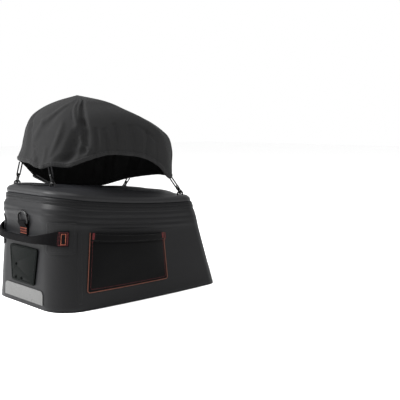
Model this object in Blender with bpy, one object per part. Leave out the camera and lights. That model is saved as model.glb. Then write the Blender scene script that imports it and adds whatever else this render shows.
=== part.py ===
"""Bicycle trunk bag with a stretch cargo cover hooked over its lid.

The frame: +X is the front of the bicycle, +Y its left, +Z up, in metres.
The origin is the middle of the flat base, which rests on the luggage rack.
The near side is -Y, where the pocket is, and the rear face looks along -X.
"""
import math
from collections import namedtuple

import bpy
from mathutils import Vector

# Bag: driving dimensions of the tub
BAG_LENGTH = 0.355
BAG_WIDTH = 0.230
REAR_HEIGHT = 0.1980
RIM_LEAN = 0.0900          # how far the rim falls for each metre forward
RIM_SAG = 0.0056           # dip of the rim halfway along a side
REAR_LEAN = 0.0518         # how far each wall leans in for each metre of height
SIDE_LEAN = 0.0725
FRONT_LEAN = 0.2850
FRONT_TUCK = 0.0040         # how much further the front pulls in at its rim
FRONT_TUCK_FROM = 0.110     # height where that starts
REAR_CORNER = 0.0506       # radii of the upright corners
FRONT_CORNER = 0.0292
SIDE_BULGE = 0.0044
BASE_ROUND = 0.006
BODY_WALL = 0.0026
BASE_WALL = 0.003
CUFF_DEPTH = 0.060         # soft upper zone under the rim, with its creases
CUFF_SWELL = 0.0026
CUFF_FRONT_SHARE = 0.30    # share of the swell that is left at the front
GAP = 0.0003               # clearance between touching pieces

# Lid and zip
LID_SPLIT = 0.0175         # depth of the lid's lower edge under the rim
LID_WALL = 0.0028
LID_CROWN = 0.010
LID_SQUARENESS = 9         # how near the rim the crown rises
RIM_ROLL = 0.0065
ZIP_WIDTH = 0.011
ZIP_THICKNESS = 0.0012

# Pocket on the near side
POCKET_WALL = 0.0014
POCKET_REAR = 0.0652       # rear top corner, measured forward from the rear face
POCKET_TOP_LENGTH = 0.150
POCKET_SLANT_REAR = 0.0115
POCKET_SLANT_FRONT = 0.004
POCKET_TOP_DEPTH = 0.063   # under the rim
POCKET_BOTTOM = 0.030      # above the base
POCKET_BELLY = 0.0075      # how far the mouth stands off the wall
POCKET_HEM = 0.012
POCKET_HEM_EXTRA = 0.0008
PIPING_RADIUS = 0.0008

# Rear: handle, ring, light panel, strip
PATCH_HEIGHT = 0.052
PATCH_CENTRE_HEIGHT = REAR_HEIGHT - 0.0788
PATCH_START_ANGLE = 13.0   # degrees round the corner from the rear face
PATCH_END_ANGLE = 71.0
PATCH_THICKNESS = 0.0014
PATCH_ROUND = 0.006
STRAP_WIDTH = 0.025
STRAP_THICKNESS = 0.0022
STRAP_END_ANGLE = 57.0
GRIP_HEIGHT = 0.0115
GRIP_THICKNESS = 0.0058
GRIP_STAND_OFF = 0.0105
GRIP_DROOP = 0.0050
RING_WIDTH = 0.0335
RING_HEIGHT = 0.0235
RING_WIRE = 0.0040
RING_REST_ANGLE = 3.0      # degrees outwards from upright
TAB_WIDTH = 0.0235
TAB_LENGTH = 0.0215
TAB_WEBBING = 0.0013
TAB_CLEARANCE = 0.0004
RING_AXIS_HEIGHT = REAR_HEIGHT - 0.0595
PANEL_TOP = REAR_HEIGHT - 0.100
PANEL_BOTTOM = 0.036
PANEL_TOP_WIDTH = 0.090
PANEL_BOTTOM_WIDTH = 0.074
PANEL_THICKNESS = 0.0028
PANEL_ROUND = 0.005
PANEL_HOLE = 0.0042
STRIP_LOW = 0.0075
STRIP_HEIGHT = 0.0230
STRIP_WIDTH = 0.124
STRIP_THICKNESS = 0.0009
STRIP_ROUND = 0.008

# Cover
COVER_LENGTH = 0.290
COVER_WIDTH = 0.208
COVER_MIDDLE = -0.021      # X of the middle of its mouth
COVER_RISE = 0.1550         # from the rear rim to the top
COVER_TOP = REAR_HEIGHT + COVER_RISE
COVER_SQUARENESS = 2.5
COVER_WALL = 0.0016
FOLD_DEPTH = 0.006
HEM_HEIGHT = 0.0068
HEM_THICKNESS = 0.0042
HEM_CLEARANCE = 0.0009     # between the cover's edge and its hem

# Clips, loops and cords
CORD_DIAMETER = 0.0024
LOOP_CLEARANCE = 0.0004
CLIP_LENGTH = 0.0210
CLIP_WIDTH = 0.0094
CLIP_THICKNESS = 0.0024
CLIP_EYE = 0.0050
CLIP_MOUTH = 0.0046
ANCHOR_WIDTH = 0.0105
ANCHOR_HEIGHT = 0.0066
ANCHOR_WIRE = 0.0028
ANCHOR_CLEARANCE = 0.0004  # under the anchors' feet
STEEP = 0.93               # a loop steeper than this hangs straight down

# Tables: lengths are shares of the named sizes above
CuffRow = namedtuple("CuffRow", "depth swell")
CUFF = (                   # depth share of CUFF_DEPTH, swell share of CUFF_SWELL
    CuffRow(0.00, 0.00), CuffRow(0.17, 0.00), CuffRow(0.19, -0.58), CuffRow(0.39, -0.58),
    CuffRow(0.41, -0.75), CuffRow(0.46, 0.10), CuffRow(0.55, 0.85), CuffRow(0.65, 1.00),
    CuffRow(0.77, 0.50), CuffRow(0.80, 0.10), CuffRow(0.88, 0.35), CuffRow(1.00, 0.00))

CoverRow = namedtuple("CoverRow", "height rear front width")
COVER = (                  # height share, then reach shares of half length and width
    CoverRow(0.00, 0.990, 1.000, 0.930), CoverRow(0.14, 0.935, 0.985, 0.945),
    CoverRow(0.32, 0.895, 0.980, 0.940), CoverRow(0.50, 0.860, 0.925, 0.900),
    CoverRow(0.66, 0.805, 0.710, 0.785), CoverRow(0.80, 0.670, 0.390, 0.590),
    CoverRow(0.91, 0.490, 0.095, 0.390), CoverRow(1.00, 0.285, -0.285, 0.000))

HemRow = namedtuple("HemRow", "angle height")
HEM = (                    # angle round the mouth from +X, height share of COVER_RISE
    HemRow(0, 0.084), HemRow(38, 0.021), HemRow(75, -0.048), HemRow(95, -0.020),
    HemRow(115, 0.100), HemRow(132, 0.237), HemRow(150, 0.310), HemRow(180, 0.299),
    HemRow(195, 0.244), HemRow(208, 0.271), HemRow(224, 0.262), HemRow(240, 0.328),
    HemRow(258, 0.385), HemRow(276, 0.344), HemRow(294, 0.226), HemRow(310, 0.084),
    HemRow(328, 0.071), HemRow(360, 0.084))

FoldRow = namedtuple("FoldRow", "angle slant width low high depth")
FOLDS = (                  # degrees, degrees over the height, degrees, levels, depth share
    FoldRow(238, 6, 9, 0.25, 1.02, 1.00), FoldRow(226, -6, 10, 0.45, 0.99, -0.50),
    FoldRow(206, -20, 12, 0.25, 0.92, -0.55), FoldRow(190, -12, 9, 0.15, 0.85, 0.60),
    FoldRow(246, 8, 5, -0.10, 0.42, 0.34), FoldRow(256, 8, 5, -0.10, 0.46, 0.36),
    FoldRow(266, 9, 5, -0.10, 0.50, 0.38), FoldRow(276, 9, 5, -0.10, 0.52, 0.38),
    FoldRow(287, 10, 6, -0.10, 0.50, 0.36), FoldRow(299, 10, 6, -0.10, 0.45, 0.30),
    FoldRow(150, 8, 9, 0.05, 0.60, 0.60), FoldRow(322, 4, 7, 0.00, 0.40, -0.50))

StrapRow = namedtuple("StrapRow", "share stand grip droop")
STRAP = (                  # share from the end to the middle
    StrapRow(0.00, 0.00, 0.00, 0.00), StrapRow(0.16, 0.00, 0.00, 0.00),
    StrapRow(0.30, 0.30, 0.10, 0.10), StrapRow(0.45, 0.72, 0.55, 0.50),
    StrapRow(0.60, 0.93, 0.95, 0.85), StrapRow(1.00, 1.00, 1.00, 1.00))

# Mouth corners: where each elastic loop leaves the hem, and where its clip hooks on the lid
CornerRow = namedtuple("CornerRow", "hem_angle end share inset side")
CORNERS = (
    CornerRow(142, "rear_corner", 0.66, 0.011, 1), CornerRow(207, "rear_corner", 0.11, 0.017, -1),
    CornerRow(330, "front_corner", 0.53, 0.0085, -1), CornerRow(38, "front_corner", 0.55, 0.009, 1))

# Routes of the two elastic cords on the lid: shares of the lid's length and width from its
# middle, and heights above the lid's surface in cord diameters
LID_CORD_ROUTE = (
    (-0.420, 0.375, 0.60), (-0.445, 0.330, 0.60), (-0.462, 0.270, 0.60), (-0.474, 0.190, 0.60),
    (-0.470, 0.110, 0.60), (-0.462, 0.030, 0.60), (-0.468, -0.050, 0.60), (-0.462, -0.120, 0.60),
    (-0.445, -0.180, 0.60), (-0.425, -0.215, 0.60))
PULL_LOOP_ROUTE = (
    (-0.400, -0.205, 0.58), (-0.405, -0.165, 1.30), (-0.410, -0.110, 2.80), (-0.415, -0.050, 4.30),
    (-0.418, 0.000, 5.60), (-0.432, 0.022, 6.10), (-0.448, 0.002, 5.80), (-0.447, -0.050, 4.70),
    (-0.440, -0.105, 3.30), (-0.430, -0.160, 1.90), (-0.410, -0.195, 2.60))


def clear_scene():
    for obj in list(bpy.data.objects):
        bpy.data.objects.remove(obj, do_unlink=True)


def material(name, colour, roughness, metallic=0.0):
    mat = bpy.data.materials.new(name)
    mat.use_nodes = True
    shader = mat.node_tree.nodes["Principled BSDF"]
    shader.inputs["Base Color"].default_value = (*colour, 1.0)
    shader.inputs["Roughness"].default_value = roughness
    shader.inputs["Metallic"].default_value = metallic
    return mat


def add_solid(name, vertices, faces, mat):
    mesh = bpy.data.meshes.new(name)
    mesh.from_pydata([tuple(v) for v in vertices], [], faces)
    mesh.materials.append(mat)
    mesh.shade_smooth()
    mesh.set_sharp_from_angle(angle=math.radians(35))
    obj = bpy.data.objects.new(name, mesh)
    bpy.context.scene.collection.objects.link(obj)
    return obj


def blend(a, b, share):
    return a + (b - a) * share


def linear_value(rows, key, column, at):
    """Straight-line value of one column of a table."""
    for low, high in zip(rows, rows[1:]):
        if at <= getattr(high, key):
            span = getattr(high, key) - getattr(low, key)
            share = max(0.0, (at - getattr(low, key)) / span)
            return blend(getattr(low, column), getattr(high, column), share)
    return getattr(rows[-1], column)


def smooth_value(rows, key, column, at):
    """Value of one column of a table along a smooth curve through its rows."""
    last = len(rows) - 1
    index = 0
    while index < last - 1 and at > getattr(rows[index + 1], key):
        index += 1
    low, high = rows[index], rows[index + 1]
    before, after = rows[max(index - 1, 0)], rows[min(index + 2, last)]
    span = getattr(high, key) - getattr(low, key)

    def slope(first, second):
        return (getattr(second, column) - getattr(first, column)) / (getattr(second, key) - getattr(first, key))

    slope_low = slope(before, high) * span
    slope_high = slope(low, after) * span
    t = min(max((at - getattr(low, key)) / span, 0.0), 1.0)
    return ((2 * t**3 - 3 * t**2 + 1) * getattr(low, column) + (t**3 - 2 * t**2 + t) * slope_low
            + (3 * t**2 - 2 * t**3) * getattr(high, column) + (t**3 - t**2) * slope_high)


def smooth_bump(distance):
    """1 at 0, falling smoothly to 0 at 1 and beyond."""
    if abs(distance) >= 1.0:
        return 0.0
    return 0.5 + 0.5 * math.cos(math.pi * distance)


# The tub's plan

def rear_x(z):
    return -BAG_LENGTH / 2 + REAR_LEAN * z


def front_x(z):
    tuck = min(max((z - FRONT_TUCK_FROM) / CUFF_DEPTH, 0.0), 1.0)**2
    return BAG_LENGTH / 2 - FRONT_LEAN * z - FRONT_TUCK * tuck


def half_width(z):
    return BAG_WIDTH / 2 - SIDE_LEAN * z


def rim_height(x):
    """Height of the rim over the point x: it falls forward and sags along the middle."""
    share = min(max((x - rear_x(REAR_HEIGHT)) / (front_x(REAR_HEIGHT) - rear_x(REAR_HEIGHT)), 0.0), 1.0)
    return REAR_HEIGHT - RIM_LEAN * (x + BAG_LENGTH / 2) - RIM_SAG * 4 * share * (1 - share)


def plan_point(segment, share, z, out=0.0, side=-1):
    """A point of the tub's outline at height z, `out` outside its wall."""
    back, front, half = rear_x(z), front_x(z), half_width(z)
    if segment == "rear":
        x, y = back - out, share * (half - REAR_CORNER)
    elif segment == "rear_corner":
        turn = math.radians(90 * share)
        x = back + REAR_CORNER - (REAR_CORNER + out) * math.cos(turn)
        y = half - REAR_CORNER + (REAR_CORNER + out) * math.sin(turn)
    elif segment == "side":
        x = blend(back + REAR_CORNER, front - FRONT_CORNER, share)
        y = half + SIDE_BULGE * 4 * share * (1 - share) + out
    elif segment == "front_corner":
        turn = math.radians(90 * share)
        x = front - FRONT_CORNER + (FRONT_CORNER + out) * math.sin(turn)
        y = half - FRONT_CORNER + (FRONT_CORNER + out) * math.cos(turn)
    else:
        x, y = front + out, (1 - share) * (half - FRONT_CORNER)
    return Vector((x, side * y, z))


def outline_stations(rear=1, rear_corner=6, side=7, front_corner=4, front=1):
    """Stations round the whole outline, anticlockwise from above, from the rear's middle."""
    half = []
    for segment, count in (("rear", rear), ("rear_corner", rear_corner), ("side", side),
                           ("front_corner", front_corner), ("front", front)):
        half += [(segment, step / count) for step in range(count)]
    near = [(segment, share, -1) for segment, share in half]
    far = [(segment, share, 1) for segment, share in half[1:] + [("front", 1.0)]]
    return near + far[::-1]


STATIONS = outline_stations()


def swell(depth, x):
    """How far the soft cuff stands out of the straight wall, less towards the front."""
    forward = min(max((x + BAG_LENGTH / 2) / BAG_LENGTH, 0.0), 1.0)
    bulge = linear_value(CUFF, "depth", "swell", depth / CUFF_DEPTH)
    if bulge > 0:
        bulge *= blend(1.0, CUFF_FRONT_SHARE, forward)
    return CUFF_SWELL * bulge


def station_rim(station):
    segment, share, side = station
    return rim_height(plan_point(segment, share, REAR_HEIGHT, 0.0, side).x)


def cuff_ring(depth, out=0.0):
    """Ring of the wall at a constant depth under the rim, with the cuff's swell."""
    ring = []
    for station in STATIONS:
        segment, share, side = station
        z = station_rim(station) - depth
        x = plan_point(segment, share, z, 0.0, side).x
        ring.append(plan_point(segment, share, z, out + swell(depth, x), side))
    return ring


def low_ring(share, out=0.0, lift=0.0):
    """Ring of the lower wall: share 0 is the base and 1 the foot of the cuff."""
    ring = []
    for station in STATIONS:
        segment, along, side = station
        z = blend(lift, station_rim(station) - CUFF_DEPTH, share)
        ring.append(plan_point(segment, along, z, out, side))
    return ring


def wall_point(along, z, out=0.0, side=-1):
    """Point on the wall at a distance along it from the rear's middle, and a height."""
    flat = half_width(z) - REAR_CORNER
    arc = REAR_CORNER * math.pi / 2
    if along < flat:
        segment, share = "rear", along / flat
    elif along < flat + arc:
        segment, share = "rear_corner", (along - flat) / arc
    else:
        length = front_x(z) - FRONT_CORNER - rear_x(z) - REAR_CORNER
        segment, share = "side", (along - flat - arc) / length
    base = plan_point(segment, share, z, 0.0, side)
    return plan_point(segment, share, z, out + swell(rim_height(base.x) - z, base.x), side)


def corner_along(angle, z):
    """Distance along the wall of an angle round the rear corner."""
    return half_width(z) - REAR_CORNER + REAR_CORNER * math.radians(angle)


def lid_top(x, y):
    """Height of the lid's upper surface inside the rolled rim."""
    z = REAR_HEIGHT
    half_length = (front_x(z) - rear_x(z)) / 2
    middle = (front_x(z) + rear_x(z)) / 2
    reach = (abs((x - middle) / half_length)**4 + abs(y / half_width(z))**4)**0.25
    return rim_height(x) + LID_CROWN * (1 - min(reach, 1.0)**LID_SQUARENESS)


# Mesh builders

def loft(rings, wrap=False):
    """Faces through rings of equal count; wrap joins the last ring to the first."""
    count = len(rings[0])
    vertices = [point for ring in rings for point in ring]
    faces = []
    pairs = list(zip(range(len(rings)), range(1, len(rings))))
    if wrap:
        pairs.append((len(rings) - 1, 0))
    for low, high in pairs:
        for step in range(count):
            after = (step + 1) % count
            faces.append((low * count + step, low * count + after, high * count + after, high * count + step))
    if not wrap:
        faces.append(tuple(range(count))[::-1])
        faces.append(tuple(range((len(rings) - 1) * count, len(rings) * count)))
    return vertices, faces


def slab(outer, inner):
    """Closed solid between two grids of the same size, rows of points seen from outside."""
    rows, columns = len(outer), len(outer[0])
    vertices = [p for row in outer for p in row] + [p for row in inner for p in row]
    shift = rows * columns
    faces = []
    for row in range(rows - 1):
        for column in range(columns - 1):
            a = row * columns + column
            quad = (a, a + 1, a + columns + 1, a + columns)
            faces.append(quad)
            faces.append(tuple(index + shift for index in quad)[::-1])
    border = [(0, c) for c in range(columns)] + [(r, columns - 1) for r in range(1, rows)]
    border += [(rows - 1, c) for c in range(columns - 2, -1, -1)] + [(r, 0) for r in range(rows - 2, 0, -1)]
    loop = [r * columns + c for r, c in border]
    for first, second in zip(loop, loop[1:] + loop[:1]):
        faces.append((second, first, first + shift, second + shift))
    return vertices, faces


def tube(points, radii, sides, upright=Vector((0, 0, 1)), closed=False):
    """Tube along points; radii is one radius or a pair, across and along `upright`."""
    wide, tall = radii if isinstance(radii, tuple) else (radii, radii)
    rings = []
    count = len(points)
    for index, point in enumerate(points):
        ahead = points[(index + 1) % count] if closed or index < count - 1 else point
        behind = points[index - 1] if closed or index > 0 else point
        run = (ahead - behind).normalized()
        across = run.cross(upright).normalized()
        over = across.cross(run).normalized()
        ring = []
        for step in range(sides):
            turn = 2 * math.pi * (step + 0.5) / sides
            ring.append(point + across * wide * math.cos(turn) + over * tall * math.sin(turn))
        rings.append(ring)
    vertices, faces = loft(rings, wrap=closed)
    return vertices, [face[::-1] for face in faces]


def rounded_rows(low, high, half_low, half_high, corner, steps=4):
    """Rows (height, half width) of an upright outline with four round corners."""
    rows = []
    for step in range(steps + 1):
        turn = math.radians(90 * step / steps)
        rows.append((low + corner * (1 - math.cos(turn)), half_low - corner * (1 - math.sin(turn))))
    for step in range(steps + 1):
        turn = math.radians(90 * step / steps)
        rows.append((high - corner * (1 - math.sin(turn)), half_high - corner * (1 - math.cos(turn))))
    return rows


# Pieces of the bag

def make_body_shell(mat):
    depths = [row.depth * CUFF_DEPTH for row in CUFF][::-1]
    top_depth = LID_SPLIT + GAP
    outer = [low_ring(0.0, -BASE_ROUND), low_ring(0.0, -BASE_ROUND * 0.29, BASE_ROUND * 0.29),
             low_ring(0.0, 0.0, BASE_ROUND), low_ring(0.5)]
    outer += [cuff_ring(depth) for depth in depths if depth > top_depth]
    outer.append(cuff_ring(top_depth))
    inner = [cuff_ring(top_depth, -BODY_WALL), cuff_ring(CUFF_DEPTH * 0.65, -BODY_WALL),
             cuff_ring(CUFF_DEPTH, -BODY_WALL),
             low_ring(0.0, -BODY_WALL, BASE_WALL + BASE_ROUND),
             low_ring(0.0, -BODY_WALL - BASE_ROUND * 0.6, BASE_WALL)]
    return add_solid("body_shell", *loft(outer + inner), mat)


def lid_ring(inset, share):
    """Ring of the lid's top: share 0 at the rolled rim, 1 at the middle of the lid."""
    ring = []
    middle = Vector(((front_x(REAR_HEIGHT) + rear_x(REAR_HEIGHT)) / 2, 0, 0))
    for segment, along, side in STATIONS:
        edge = plan_point(segment, along, REAR_HEIGHT, -inset, side)
        point = edge.lerp(middle, share)
        point.z = lid_top(point.x, point.y)
        ring.append(point)
    return ring


def make_lid(mat):
    recess_low, recess_high = CUFF[2].depth * CUFF_DEPTH, CUFF[1].depth * CUFF_DEPTH
    skirt = [cuff_ring(LID_SPLIT), cuff_ring(recess_low), cuff_ring(recess_high),
             cuff_ring(RIM_ROLL * 0.55), cuff_ring(RIM_ROLL * 0.1, -RIM_ROLL * 0.16)]
    top = [lid_ring(RIM_ROLL * 0.5, 0.0), lid_ring(RIM_ROLL, 0.03), lid_ring(RIM_ROLL, 0.12),
           lid_ring(RIM_ROLL, 0.35), lid_ring(RIM_ROLL, 0.75)]
    drop = Vector((0, 0, LID_WALL))
    under = [[point - drop for point in ring] for ring in top[::-1][:-1]]
    inside = [cuff_ring(RIM_ROLL, -RIM_ROLL), cuff_ring(LID_SPLIT, -BODY_WALL)]
    return add_solid("lid", *loft_closed_section(skirt + top, under + inside), mat)


def loft_closed_section(outer, inner):
    """Dome with a wall: the crown and its underside are each closed by one face."""
    count = len(outer[0])
    rings = outer + inner
    vertices = [point for ring in rings for point in ring]
    faces = []
    crown, under = len(outer) - 1, len(outer)
    for low in range(len(rings)):
        high = (low + 1) % len(rings)
        if low == crown:
            continue
        for step in range(count):
            after = (step + 1) % count
            faces.append((low * count + step, low * count + after, high * count + after, high * count + step))
    faces.append(tuple(range(crown * count, (crown + 1) * count)))
    faces.append(tuple(range(under * count, (under + 1) * count))[::-1])
    return vertices, faces


def make_zip_tape(mat):
    levels = [LID_SPLIT + ZIP_WIDTH / 2, LID_SPLIT, LID_SPLIT - ZIP_WIDTH / 2]
    outer = [cuff_ring(depth, GAP + ZIP_THICKNESS) for depth in levels]
    inner = [cuff_ring(depth, GAP) for depth in levels[::-1]]
    return add_solid("zip_tape", *loft(outer + inner, wrap=True), mat)


def pocket_edges(share_up):
    """Forward ends of the pocket at a share of its height: rear X and front X."""
    rear = rear_x(0.0) + POCKET_REAR - POCKET_SLANT_REAR * (1 - share_up)
    front = rear_x(0.0) + POCKET_REAR + POCKET_TOP_LENGTH + POCKET_SLANT_FRONT * (1 - share_up)
    return rear, front


def side_point(x, z, out):
    """Point of the near side wall over a given X."""
    length = front_x(z) - FRONT_CORNER - rear_x(z) - REAR_CORNER
    share = (x - rear_x(z) - REAR_CORNER) / length
    if share < 0:
        centre = rear_x(z) + REAR_CORNER
        turn = math.asin(min((centre - x) / (REAR_CORNER + out), 1.0))
        return plan_point("rear_corner", 1 - turn / (math.pi / 2), z, out, -1)
    return plan_point("side", share, z, out, -1)


def pocket_point(across, up, out):
    rear, front = pocket_edges(up)
    x = blend(rear, front, across)
    top = rim_height(x) - POCKET_TOP_DEPTH
    return side_point(x, blend(POCKET_BOTTOM, top, up), out)


def pocket_belly(across, up):
    """The panel lies on the wall at three edges and stands off it at the mouth."""
    sides = 1 - abs(2 * across - 1)**3.5
    return POCKET_BELLY * sides * math.sin(min(up * 1.25, 1.0) * math.pi / 2)


def make_pocket(mat):
    across_steps, up_steps = 16, 6
    hem_share = 1 - POCKET_HEM / (rim_height(0.0) - POCKET_TOP_DEPTH - POCKET_BOTTOM)
    levels = [hem_share * step / up_steps for step in range(up_steps + 1)]
    levels += [hem_share + 0.012, 0.985, 1.0]
    outer, inner = [], []
    for up in levels:
        hem = POCKET_HEM_EXTRA if hem_share < up < 1.0 else 0.0
        outer_row, inner_row = [], []
        for step in range(across_steps + 1):
            across = step / across_steps
            lift = GAP + pocket_belly(across, up)
            outer_row.append(pocket_point(across, up, lift + POCKET_WALL + hem))
            inner_row.append(pocket_point(across, up, lift))
        outer.append(outer_row)
        inner.append(inner_row)
    return add_solid("pocket", *slab(outer, inner), mat)


def make_pocket_piping(mat):
    """Piping down the rear edge, along the bottom and up the front edge of the pocket."""
    out = GAP + PIPING_RADIUS * 1.02
    margin = (PIPING_RADIUS + GAP) / POCKET_TOP_LENGTH
    below = (PIPING_RADIUS + GAP) / (rim_height(0.0) - POCKET_TOP_DEPTH - POCKET_BOTTOM)
    points = [pocket_point(-margin, 1 - step / 5, out) for step in range(6)]
    points += [pocket_point(-margin, -below, out)]
    points += [pocket_point(step / 13, -below, out) for step in range(14)]
    points += [pocket_point(1 + margin, -below, out)]
    points += [pocket_point(1 + margin, step / 5, out) for step in range(6)]
    return add_solid("pocket_piping", *tube(points, PIPING_RADIUS, 6, Vector((0, -1, 0))), mat)


def make_handle_patch(name, side, mat):
    low = PATCH_CENTRE_HEIGHT - PATCH_HEIGHT / 2
    high = PATCH_CENTRE_HEIGHT + PATCH_HEIGHT / 2
    start = corner_along(PATCH_START_ANGLE, PATCH_CENTRE_HEIGHT)
    end = corner_along(PATCH_END_ANGLE, PATCH_CENTRE_HEIGHT)
    middle, half = (start + end) / 2, (end - start) / 2
    outer, inner = [], []
    rows = rounded_rows(low, high, half, half, PATCH_ROUND, 2)
    rows.insert(3, (PATCH_CENTRE_HEIGHT + STRAP_WIDTH / 2, half))
    for z, reach in rows:
        spots = [middle + reach * (2 * step / 8 - 1) for step in range(9)]
        if side > 0:
            spots = spots[::-1]
        outer.append([wall_point(s, z, GAP + PATCH_THICKNESS, side) for s in spots])
        inner.append([wall_point(s, z, GAP, side) for s in spots])
    return add_solid(name, *slab(outer, inner), mat)


def strap_sections():
    """Centre, upward direction, half height and half thickness, near end to far end."""
    z = PATCH_CENTRE_HEIGHT
    end = corner_along(STRAP_END_ANGLE, z)
    sections = []
    steps = 13
    for step in range(-steps, steps + 1):
        share = 1 - abs(step) / steps
        stand = GRIP_STAND_OFF * max(0.0, smooth_value(STRAP, "share", "stand", share))
        grip = smooth_value(STRAP, "share", "grip", share)
        droop = GRIP_DROOP * smooth_value(STRAP, "share", "droop", share)
        thickness = blend(STRAP_THICKNESS, GRIP_THICKNESS, grip)
        out = PATCH_THICKNESS + 2 * GAP + thickness / 2 + stand
        side = -1 if step <= 0 else 1
        along = end * abs(step) / steps
        centre = wall_point(along, z, out, side) - Vector((0, 0, droop))
        edges = [wall_point(along, z + reach, out, side) for reach in (-STRAP_WIDTH / 2, STRAP_WIDTH / 2)]
        up = (edges[1] - edges[0]).normalized()
        sections.append((centre, up, blend(STRAP_WIDTH, GRIP_HEIGHT, grip) / 2, thickness / 2))
    return sections


def make_grab_handle(mat):
    sections = strap_sections()
    rings = []
    for index, (centre, up, tall, thick) in enumerate(sections):
        behind = sections[max(index - 1, 0)][0]
        ahead = sections[min(index + 1, len(sections) - 1)][0]
        run = (ahead - behind).normalized()
        across = run.cross(up).normalized()
        ease = 0.78
        corners = ((1, -ease), (ease, -1), (-ease, -1), (-1, -ease), (-1, ease), (-ease, 1), (ease, 1), (1, ease))
        rings.append([centre + across * thick * a + up * tall * b for a, b in corners])
    return add_solid("grab_handle", *loft(rings), mat)


def ring_axis():
    """Middle of the ring's straight bar: the axis that the ring swings about."""
    out = GAP + TAB_WEBBING + TAB_CLEARANCE + RING_WIRE / 2
    return wall_point(0.0, RING_AXIS_HEIGHT, out)


def make_tab_and_ring(tab_mat, ring_mat):
    axis = ring_axis()
    loop = RING_WIRE / 2 + TAB_CLEARANCE
    outside = loop + TAB_WEBBING
    foot = RING_AXIS_HEIGHT - TAB_LENGTH
    sewn = 2 * TAB_WEBBING
    lower = axis.z - outside - 0.0030
    outer = [Vector((wall_point(0.0, foot, GAP).x, 0, foot)), Vector((wall_point(0.0, lower, GAP).x, 0, lower))]
    outer += [axis + Vector((outside * math.cos(math.radians(a)), 0, outside * math.sin(math.radians(a))))
              for a in range(0, 201, 25)]
    outer += [Vector((wall_point(0.0, lower, GAP + sewn).x, 0, lower)),
              Vector((wall_point(0.0, foot, GAP + sewn).x, 0, foot))]
    hole = [axis + Vector((loop * math.cos(math.radians(a)), 0, loop * math.sin(math.radians(a))))
            for a in range(0, 360, 30)]
    extrude_with_hole("ring_tab", outer, hole, TAB_WIDTH, tab_mat)

    half_inner = RING_WIDTH / 2 - RING_WIRE / 2
    bow = RING_HEIGHT - RING_WIRE
    lean = math.radians(RING_REST_ANGLE)
    up = Vector((-math.sin(lean), 0, math.cos(lean)))
    side = Vector((0, 1, 0))
    corner = RING_WIRE * 0.9
    path = []
    for turn in (0, 45, 90):
        a = math.radians(turn)
        path.append(side * (half_inner - corner + corner * math.sin(a)) + up * (corner - corner * math.cos(a)))
    arch = half_inner
    rise = bow - arch * 0.72
    for step in range(0, 11):
        a = math.pi * step / 10
        path.append(side * (arch * math.cos(a)) + up * (rise + arch * 0.72 * math.sin(a)))
    for turn in (90, 45, 0):
        a = math.radians(turn)
        path.append(side * -(half_inner - corner + corner * math.sin(a)) + up * (corner - corner * math.cos(a)))
    path += [side * -(half_inner - corner) * 0.33, side * (half_inner - corner) * 0.33]
    facing = up.cross(side)
    ring = tube([axis + p for p in path], RING_WIRE / 2, 8, facing, closed=True)
    return add_solid("d_ring", *ring, ring_mat)


def extrude_with_hole(name, outer, hole, width, mat):
    """Plate of an outline in X and Z, cut by a hole, as wide as `width` along Y."""
    vertices, faces = [], []
    count, inside = len(outer), len(hole)
    nearest = [min(range(count), key=lambda i: (outer[i] - p).length) for p in hole]
    for side in (-1, 1):
        shift = Vector((0, side * width / 2, 0))
        vertices += [p + shift for p in outer] + [p + shift for p in hole]
    total = count + inside

    def cap(offset, flip):
        made = []
        for step in range(inside):
            after = (step + 1) % inside
            first, second = nearest[step], nearest[after]
            chain = [first]
            while chain[-1] != second:
                chain.append((chain[-1] + 1) % count)
            face = [offset + index for index in chain]
            face += [offset + count + after, offset + count + step]
            if len(set(face)) >= 3:
                made.append(tuple(face[::-1] if flip else face))
        return made

    faces += cap(0, False) + cap(total, True)
    for step in range(count):
        after = (step + 1) % count
        faces.append((step, step + total, after + total, after))
    for step in range(inside):
        after = (step + 1) % inside
        faces.append((count + step, count + after, count + after + total, count + step + total))
    return add_solid(name, vertices, faces, mat)


def make_light_panel(mat):
    rows = rounded_rows(PANEL_BOTTOM, PANEL_TOP, PANEL_BOTTOM_WIDTH / 2, PANEL_TOP_WIDTH / 2, PANEL_ROUND, 4)
    outer, inner = [], []
    for z, reach in rows:
        outer.append([Vector((wall_point(0.0, z, GAP + PANEL_THICKNESS).x, -y, z)) for y in (-reach, reach)])
        inner.append([Vector((wall_point(0.0, z, GAP).x, -y, z)) for y in (-reach, reach)])
    panel = add_solid("light_panel", *slab(outer, inner), mat)
    for number, (y, z) in enumerate(panel_holes()):
        at = Vector((wall_point(0.0, z, 0.0).x, y, z))
        cut_hole(panel, at, PANEL_HOLE / 2, "panel_hole_%d" % number)
    return panel


def panel_holes():
    """Places of the three screw holes, from the panel's own sizes."""
    low = blend(PANEL_BOTTOM, PANEL_TOP, 0.11)
    high = blend(PANEL_BOTTOM, PANEL_TOP, 0.47)
    side = PANEL_BOTTOM_WIDTH * 0.295
    return ((side, low), (side, high), (side * 0.17, low))


def cut_hole(target, at, radius, name):
    rings = []
    for x in (-0.01, 0.01):
        rings.append([at + Vector((x, radius * math.cos(2 * math.pi * step / 12),
                                   radius * math.sin(2 * math.pi * step / 12))) for step in range(12)])
    cutter = add_solid(name, *loft(rings), target.data.materials[0])
    cutter.hide_render = True
    cutter.display_type = "WIRE"
    cut = target.modifiers.new("hole", "BOOLEAN")
    cut.operation = "DIFFERENCE"
    cut.object = cutter


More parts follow.
